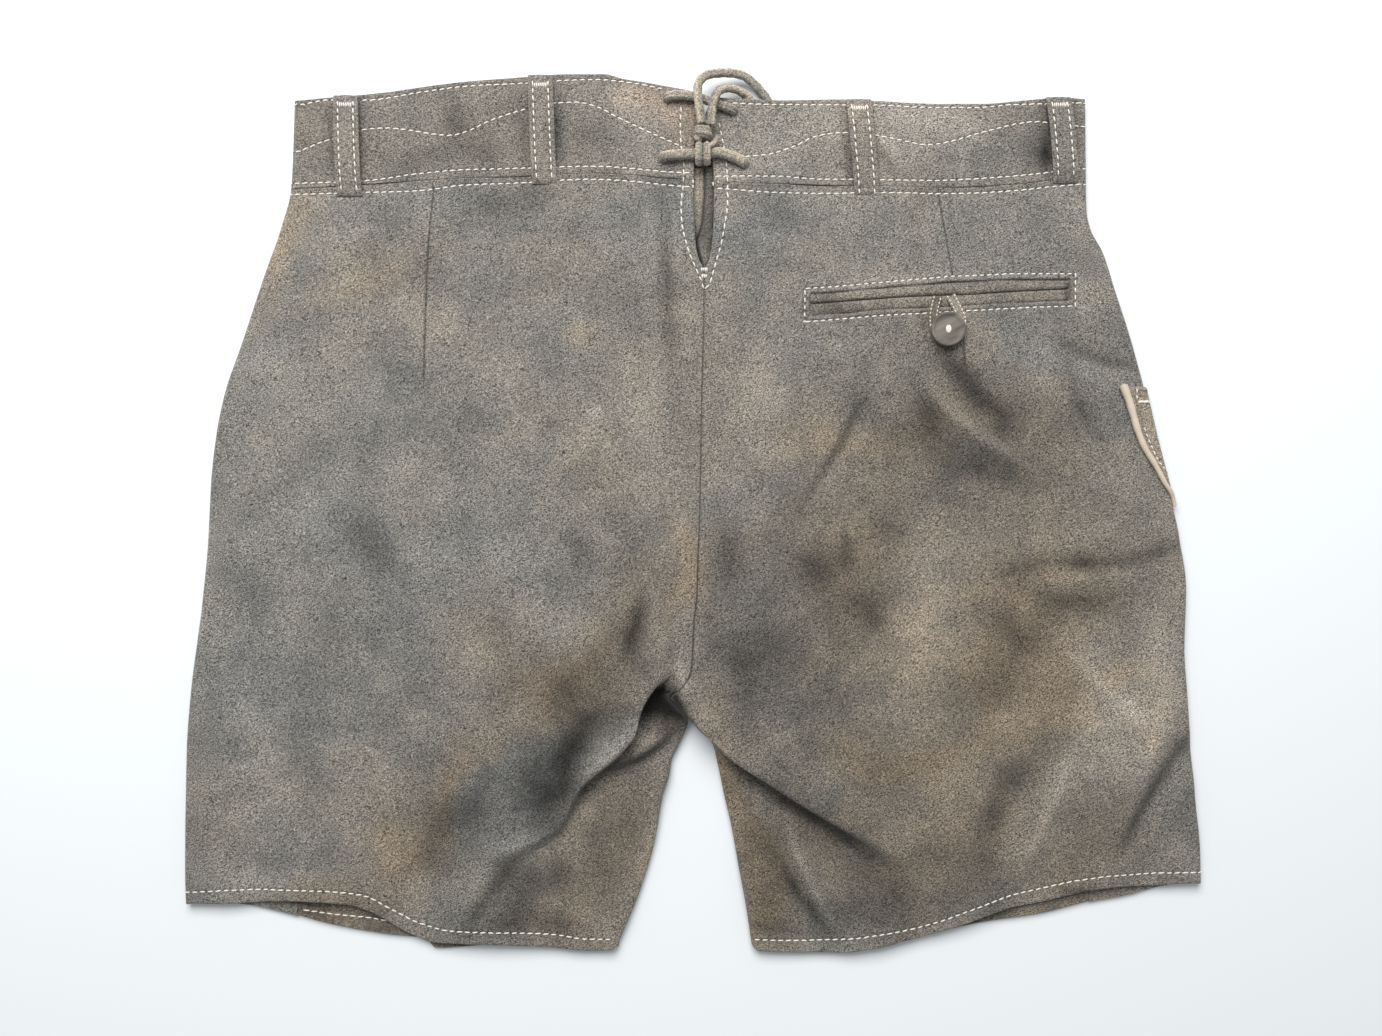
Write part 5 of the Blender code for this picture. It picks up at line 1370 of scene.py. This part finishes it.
def welt(name, upper_edge, lower_edge, finish):
    """One lip of the pocket, in the window of the back panel, rounded along both edges."""
    x = np.linspace(WINDOW_LEFT + SEAM_GAP, WINDOW_RIGHT - SEAM_GAP, 101)[:, None]
    share = np.array((0, 0.03, 0.08, 0.16, 0.3, 0.5, 0.7, 0.84, 0.92, 0.97, 1.0))
    high = WINDOW[upper_edge](x) - SEAM_GAP
    low = WINDOW[lower_edge](x) + SEAM_GAP
    y = high + (low - high) * share
    x = x + 0 * y
    crown = 1.0 - abs(2 * share - 1) ** 4
    outer = points_of(x, y, LIE_HEIGHT - 1.7 + 1.3 * crown + crease_height(CREASES, x, y) + wander(x, y))
    # the lips take the painted shade and light of the back
    fields = {**dye_and_painted_light(STROKES, x, y, PAINTED_SHADE_LINES, warmer=0.1), "seam": np.minimum(high - y, y - low) + 0.5}
    shell(name, outer, (50, 5, 1), 1.2, finish, fields, slot="suede_brown")


def pocket_frame(finish):
    """The turned edge of the panel round the pocket's window."""
    ring = window_outline(0.0, 90)
    run = unit(np.roll(ring, -1, 0) - np.roll(ring, 1, 0))
    side = points_of(run[:, 1], -run[:, 0], 0)
    path = points_of(*ring.T, cloth_height(*(ring + side[:, :2] * 2.2).T))
    aside = FRAME_SECTION[:, 0]
    x = ring[:, :1] + side[:, :1] * aside
    y = ring[:, 1:] + side[:, 1:2] * aside
    # the frame takes the painted shade and light of the back
    fields = {**dye_and_painted_light(STROKES, x, y, PAINTED_SHADE_LINES), "sewn": abs(aside - FRAME_SEWING) + 0 * x,
              "seam": np.where(aside < 0.1, 0.6, PLAIN_FIELDS["seam"]) + 0 * x}
    sweep("pocket_frame", path, side, upright(len(path)), FRAME_SECTION, finish, fields, closed=True)


def strap_line(count, out=0.0):
    """The middle line of the strap's outer face, and the ways across it and up."""
    path = curve_through(points_of(*STRAP_PATH.T, LIE_HEIGHT + SEAM_GAP + STRAP_WALL + out), count)
    return path, np.cross(along_path(path), (0, 0, 1.0)), upright(count)


def pocket_strap(finish):
    """The strap that comes out of the pocket's mouth and loops round the button's shank."""
    path, side, up = strap_line(70)
    shade = np.repeat(ease(path[:, 0], 148, 143), len(STRAP_SECTION))
    sweep("pocket_strap", path, side, up, STRAP_SECTION, finish,
          {"warmth": 0.20 + 0.2 * shade, "lightness": 0.02 - 0.45 * shade}, slot="suede_tan")


def edited(height, primitive, **size):
    """A new primitive over the button's place, ready to be edited."""
    bpy.ops.object.select_all(action="DESELECT")
    primitive(location=(BUTTON_AT[0] * MM, BUTTON_AT[1] * MM, height * MM), **size)
    bpy.ops.object.mode_set(mode="EDIT")
    return bpy.context.active_object


def select(piece, choose):
    """Select a part of a piece in edit mode."""
    bpy.ops.mesh.select_all(action="DESELECT")
    choose(bmesh.from_edit_mesh(piece.data))
    bmesh.update_edit_mesh(piece.data)


def the_one(best):
    """A choice of the highest face, with max, or of the lowest, with min."""
    def choose(mesh):
        best(mesh.faces, key=lambda face: face.calc_center_median().z).select = True
    return choose


def dent(mesh):
    """A choice of the points along the middle of the thread's upper side."""
    for point in mesh.verts:
        point.select = all(abs(face.calc_center_median().x) < 0.5 * MM and face.normal.z > 0.5
                           for face in point.link_faces)


def finished(made, name, finish, slot, angle):
    """Put a piece's place into its mesh, and give it its name and finish."""
    bpy.ops.object.transform_apply(location=True, rotation=True, scale=True)
    bpy.ops.object.shade_smooth_by_angle(angle=math.radians(angle))
    made.name = made.data.name = own_name(name, slot)
    made.data.materials.append(finish)
    said(made, name)


def pocket_button(finish):
    """A turned horn button: a flat rim, a round groove inside it, and a dished middle."""
    button = edited(BUTTON_UNDER + BUTTON_THICK / 2, bpy.ops.mesh.primitive_cylinder_add, vertices=72,
                    radius=BUTTON_RADIUS * 0.98 * MM, depth=BUTTON_THICK * MM)
    select(button, the_one(max))
    for width, rise in BUTTON_TURNED:
        bpy.ops.mesh.inset(thickness=width * MM, depth=0)
        bpy.ops.transform.translate(value=(0, 0, rise * MM))
    select(button, the_one(min))
    for width in (2.4, 5.4):
        bpy.ops.mesh.inset(thickness=width * MM, depth=0)
    bpy.ops.mesh.extrude_region_move(TRANSFORM_OT_translate={"value": (0, 0, -(STRAP_WALL + SEAM_GAP) * MM)})
    bpy.ops.object.mode_set(mode="OBJECT")
    bevel = button.modifiers.new("edges", "BEVEL")
    bevel.width = BUTTON_BEVEL * MM
    bevel.segments = 2
    bevel.limit_method = "ANGLE"
    bevel.angle_limit = math.radians(35)
    bpy.ops.object.modifier_apply(modifier="edges")
    finished(button, "pocket_button", finish, "horn_grey", 40)


def button_thread(finish):
    """The thread that holds the button, as a small oval knob in its middle."""
    knob = edited(BUTTON_UNDER + BUTTON_THICK - 0.5, bpy.ops.mesh.primitive_uv_sphere_add, segments=20,
                  ring_count=12, radius=1.0 * MM)
    bpy.ops.mesh.select_all(action="SELECT")
    bpy.ops.transform.resize(value=KNOB_SIZE)
    select(knob, dent)
    bpy.ops.transform.translate(value=(0, 0, -KNOB_DENT * MM))
    bpy.ops.object.mode_set(mode="OBJECT")
    finished(knob, "button_thread", finish, "thread_cream", 70)


# Knife pocket

KNIFE_TOP = KNIFE_POCKET[0, 0]
KNIFE_FOOT = KNIFE_POCKET[-1, 0]
KNIFE_BACK = smooth_line(KNIFE_POCKET[:, :2])
KNIFE_UNDER = smooth_line(KNIFE_POCKET[:, ::2])


def knife_point(y, reach, lift_off):
    """Points on the right side at distances round the side fold, moved out by lift_off, and the ways out.

    The reach is 0 at the outermost line of the fold, negative on the back and positive underneath."""
    y, reach = np.broadcast_arrays(y, reach)
    lift = side_lift(RIGHT, RIGHT.fold(y), y)
    radius = (LIE_HEIGHT - lift) / 2
    quarter = radius * math.pi / 2
    angle = -np.clip(reach, -quarter, quarter) / radius
    way = points_of(np.cos(angle), 0, np.sin(angle))
    point = points_of(RIGHT.fold(y) - radius, y, lift + radius) + way * (radius + lift_off)[..., None]
    point[..., 0] -= np.maximum(abs(reach) - quarter, 0)
    point[..., 2] = np.where(reach < -quarter, cloth_height(point[..., 0], y) + lift_off, point[..., 2])
    return point, way


def knife_pocket(finish):
    """The knife pocket: a leather shield wrapped round the right side fold."""
    y = np.linspace(KNIFE_TOP, KNIFE_FOOT, 78)[:, None]
    low = -KNIFE_BACK(y) + PIPING_RADIUS * 0.6
    high = KNIFE_UNDER(y)
    reach = low + (high - low) * np.linspace(0, 1, 46)
    edge = np.minimum(np.minimum(reach - low, high - reach), np.minimum(KNIFE_TOP - y, y - KNIFE_FOOT))
    outer, way = knife_point(y, reach, SEAM_GAP + POCKET_WALL - round_off(np.maximum(edge, 0), 0.9))
    fields = {**dye_and_painted_light(STROKES, outer[..., 0], outer[..., 1], share=UNDER_DYE, warmer=0.6, lighter=0.30),
              "sewn": np.minimum(abs(edge - POCKET_SEWING), PLAIN_FIELDS["sewn"])}
    return shell("knife_pocket", outer, way, POCKET_WALL - 0.2, finish, fields, slot="suede_brown")


def knife_piping(finish):
    """The piping along the back edge of the knife pocket, thinner towards its foot."""
    y = np.linspace(KNIFE_TOP + 0.4, 5.0, 50)
    radius = PIPING_TOP - PIPING_THINNED * np.linspace(0, 1, len(y))
    route, _ = knife_point(y, -KNIFE_BACK(y), SEAM_GAP + radius * 0.85)
    tube("knife_pocket_piping", route, radius, finish, len(y), sides=18, slot="piping_cream")


# Sewing

def laid(path, out=0.0):
    """Points on the back along a path of places (across, up), and the ways straight out of it there."""
    x, y = np.asarray(path).T
    reach = SLOPE_REACH
    slope_x = (back_height(x + reach, y) - back_height(x - reach, y)) / (2 * reach)
    slope_y = (back_height(x, y + reach) - back_height(x, y - reach)) / (2 * reach)
    normals = unit(points_of(-slope_x, -slope_y, 1.0))
    return points_of(x, y, back_height(x, y)) + normals * out, normals


def round_the_side(half, line, radius, under_line, under_end):
    """A row of sewing on the back, carried on round the side fold and along the underside."""
    side = half.side
    path = sewing_path(f"{half.name}_{line}")
    path = path[np.argsort(side * path[:, 0])]
    path = path[side * path[:, 0] < side * half.fold(path[:, 1]) - radius]
    points, normals = laid(path)
    y = path[-1, 1]
    angles = np.radians((60, 30, 0, -30, -60))
    ways = points_of(side * np.cos(angles), 0, np.sin(angles))
    middle = np.array((float(half.fold(y)) - side * radius, y, radius))
    under_x = np.arange(middle[0] - side * 2, under_end, -side * 3.0)
    under_y = under_line(under_x)
    under_y = under_y + (y - under_y[0]) * np.exp(-abs(under_x - under_x[0]) / 12)
    level = SEWN_PROUD + under_height(under_x, under_y)
    points = np.concatenate([points, middle + ways * radius, points_of(under_x, under_y, level)])
    return points, np.concatenate([normals, ways, upright(len(under_x), -1.0)])


def bar_tack(start, end, width, count):
    """Short stitches side by side, from one place to another (across, up)."""
    start, end = np.array(start), np.array(end)
    run = unit(end - start)
    across = np.array((-run[1], run[0])) * width / 2
    middles = [start + (end - start) * share for share in np.linspace(0, 1, count)]
    return [laid([middle - across, middle, middle + across], 0.1) for middle in middles]


def sew_waistband_and_panels(finish):
    runs = []
    for half in HALVES:
        beside_flap = CENTRE_FRONT + half.side * (FLAP_HALF + FLAP_STEP)
        for line, radius, under_line, end in (
                ("top", BAND_RADIUS, lambda x: half.front_waist(x) - BAND_UNDER_TOP, beside_flap),
                ("wave", BAND_RADIUS,
                 lambda x: 0.5 * (half.front_waist(x) + half.top(x)) + 9 * np.sin(x / 17 + 1), beside_flap),
                ("foot", BAND_RADIUS, lambda x: half.top(x) + BAND_UNDER_FOOT, beside_flap),
                ("panel", LIE_HEIGHT / 2, lambda x: half.top(x) - UNDER_SEWING,
                 CENTRE_FRONT + half.side * (FLAP_HALF + 6)),
                ("hem", LIE_HEIGHT / 2, lambda x: half.under_hem(x) + HEM_TURN - 1,
                 float(half.front_inner(HEM_UP)) + half.side * 6)):
            runs.append(round_the_side(half, line, radius, under_line, end))
    runs += [laid(curve_through(line, 60)) for line in SLIT_SEWING]
    stitches("sewing_long", runs, finish)
    small = [laid(line) for line in SLIT_BITS]
    for bar in SLIT_BARS:
        small += bar_tack(*bar)
    stitches("sewing_slit", small, finish)


def sew_hem_insides(finish):
    """The hem sewing of the front legs, where their inner faces show past the back's hems."""
    level = LEATHER + HEM_EXTRA + 0.05
    stitches("sewing_hem_insides", [(points_of(*curve_through(line, 24).T, level), upright(24))
                                    for line in INSIDE_HEMS], finish)


def sew_pocket(finish):
    ring = window_outline(FRAME_SEWING, 70)
    stitches("sewing_pocket", [laid(np.concatenate([ring, ring[:2]]), -THREAD_SUNK)], finish)
    path, side, up = strap_line(60, -THREAD_SUNK)
    stitches("sewing_strap", [(path + side * off, up) for off in (-STRAP_SEWING, STRAP_SEWING)], finish)


def sew_belt_loops(finish):
    runs = []
    bars = []
    for row in BELT_LOOPS:
        path = belt_loop_line(row, -0.12)[2:-1]
        runs += [(path + (off, 0, 0), loop_normals(path)) for off in (-LOOP_SEWING, LOOP_SEWING)]
        for off in np.linspace(-LOOP_BAR, LOOP_BAR, 7):
            middle = path[2] + (off, 0, 0.2)
            bars.append((np.array([middle - (0.2, 1.4, 0), middle, middle + (0.2, 1.4, 0)]), upright(3)))
    stitches("sewing_loops", runs, finish)
    stitches("sewing_loop_bars", bars, finish)


def on_knife_pocket(line):
    """A line of places (across, up) as points on the knife pocket."""
    x, y = curve_through(line, 12).T
    radius = LIE_HEIGHT / 2
    reach = x - RIGHT.fold(y)
    reach = np.where(reach < -radius, reach + radius - radius * math.pi / 2,
                     -np.arccos(np.clip(1 + reach / radius, -1, 1)) * radius)
    return knife_point(y, reach, SEAM_GAP + POCKET_WALL + 0.1)


def sew_flap(finish):
    left, right = (CENTRE_FRONT + side * (FLAP_HALF - FLAP_SEWING) for side in (-1, 1))
    foot = FLAP_BASE + FLAP_SEWING
    x = np.linspace(left, right, 40)
    corners = [(left, foot), *zip(x, flap_top(x) - FLAP_SEWING), (right, foot), (left, foot)]
    x, y = np.concatenate([np.linspace(a, b, 6)[:-1] for a, b in zip(corners, corners[1:])]).T
    path = points_of(x, y, SEWN_PROUD + 0.5 * under_height(x, y))
    stitches("sewing_flap", [(path, upright(len(path), -1.0))], finish)


# The whole garment

look_down()
lace(suede("suede_lace"))
SUEDE, BAND_SUEDE, TRIM_SUEDE, TAN_SUEDE = map(
    suede, ("suede_grey", "suede_band", "suede_brown", "suede_tan"))
THREAD = cotton("thread_cream", THREAD_CREAM)

for half in HALVES:
    back_panel(half, SUEDE)
    front_panel(half, SUEDE)
    waistband(half, BAND_SUEDE)
front_flap(SUEDE)
slit_gusset(TAN_SUEDE)
for number, row in enumerate(BELT_LOOPS, 1):
    belt_loop(number, row, BAND_SUEDE)
welt("pocket_welt_upper", "top", "mouth", TRIM_SUEDE)
welt("pocket_welt_lower", "mouth", "foot", TRIM_SUEDE)
pocket_frame(SUEDE)
pocket_strap(TAN_SUEDE)
pocket_button(horn("horn_grey"))
button_thread(THREAD)
knife_pocket(TRIM_SUEDE)
knife_piping(smooth_leather("piping_cream", PIPING_CREAM, PIPING_WORN))
sew_waistband_and_panels(THREAD)
sew_hem_insides(THREAD)
sew_pocket(THREAD)
sew_belt_loops(THREAD)
stitches("sewing_knife_bar", [on_knife_pocket(KNIFE_BAR)], THREAD)
stitches("sewing_knife", map(on_knife_pocket, map(rows, KNIFE_SEWING)), THREAD)
sew_flap(THREAD)
studio()
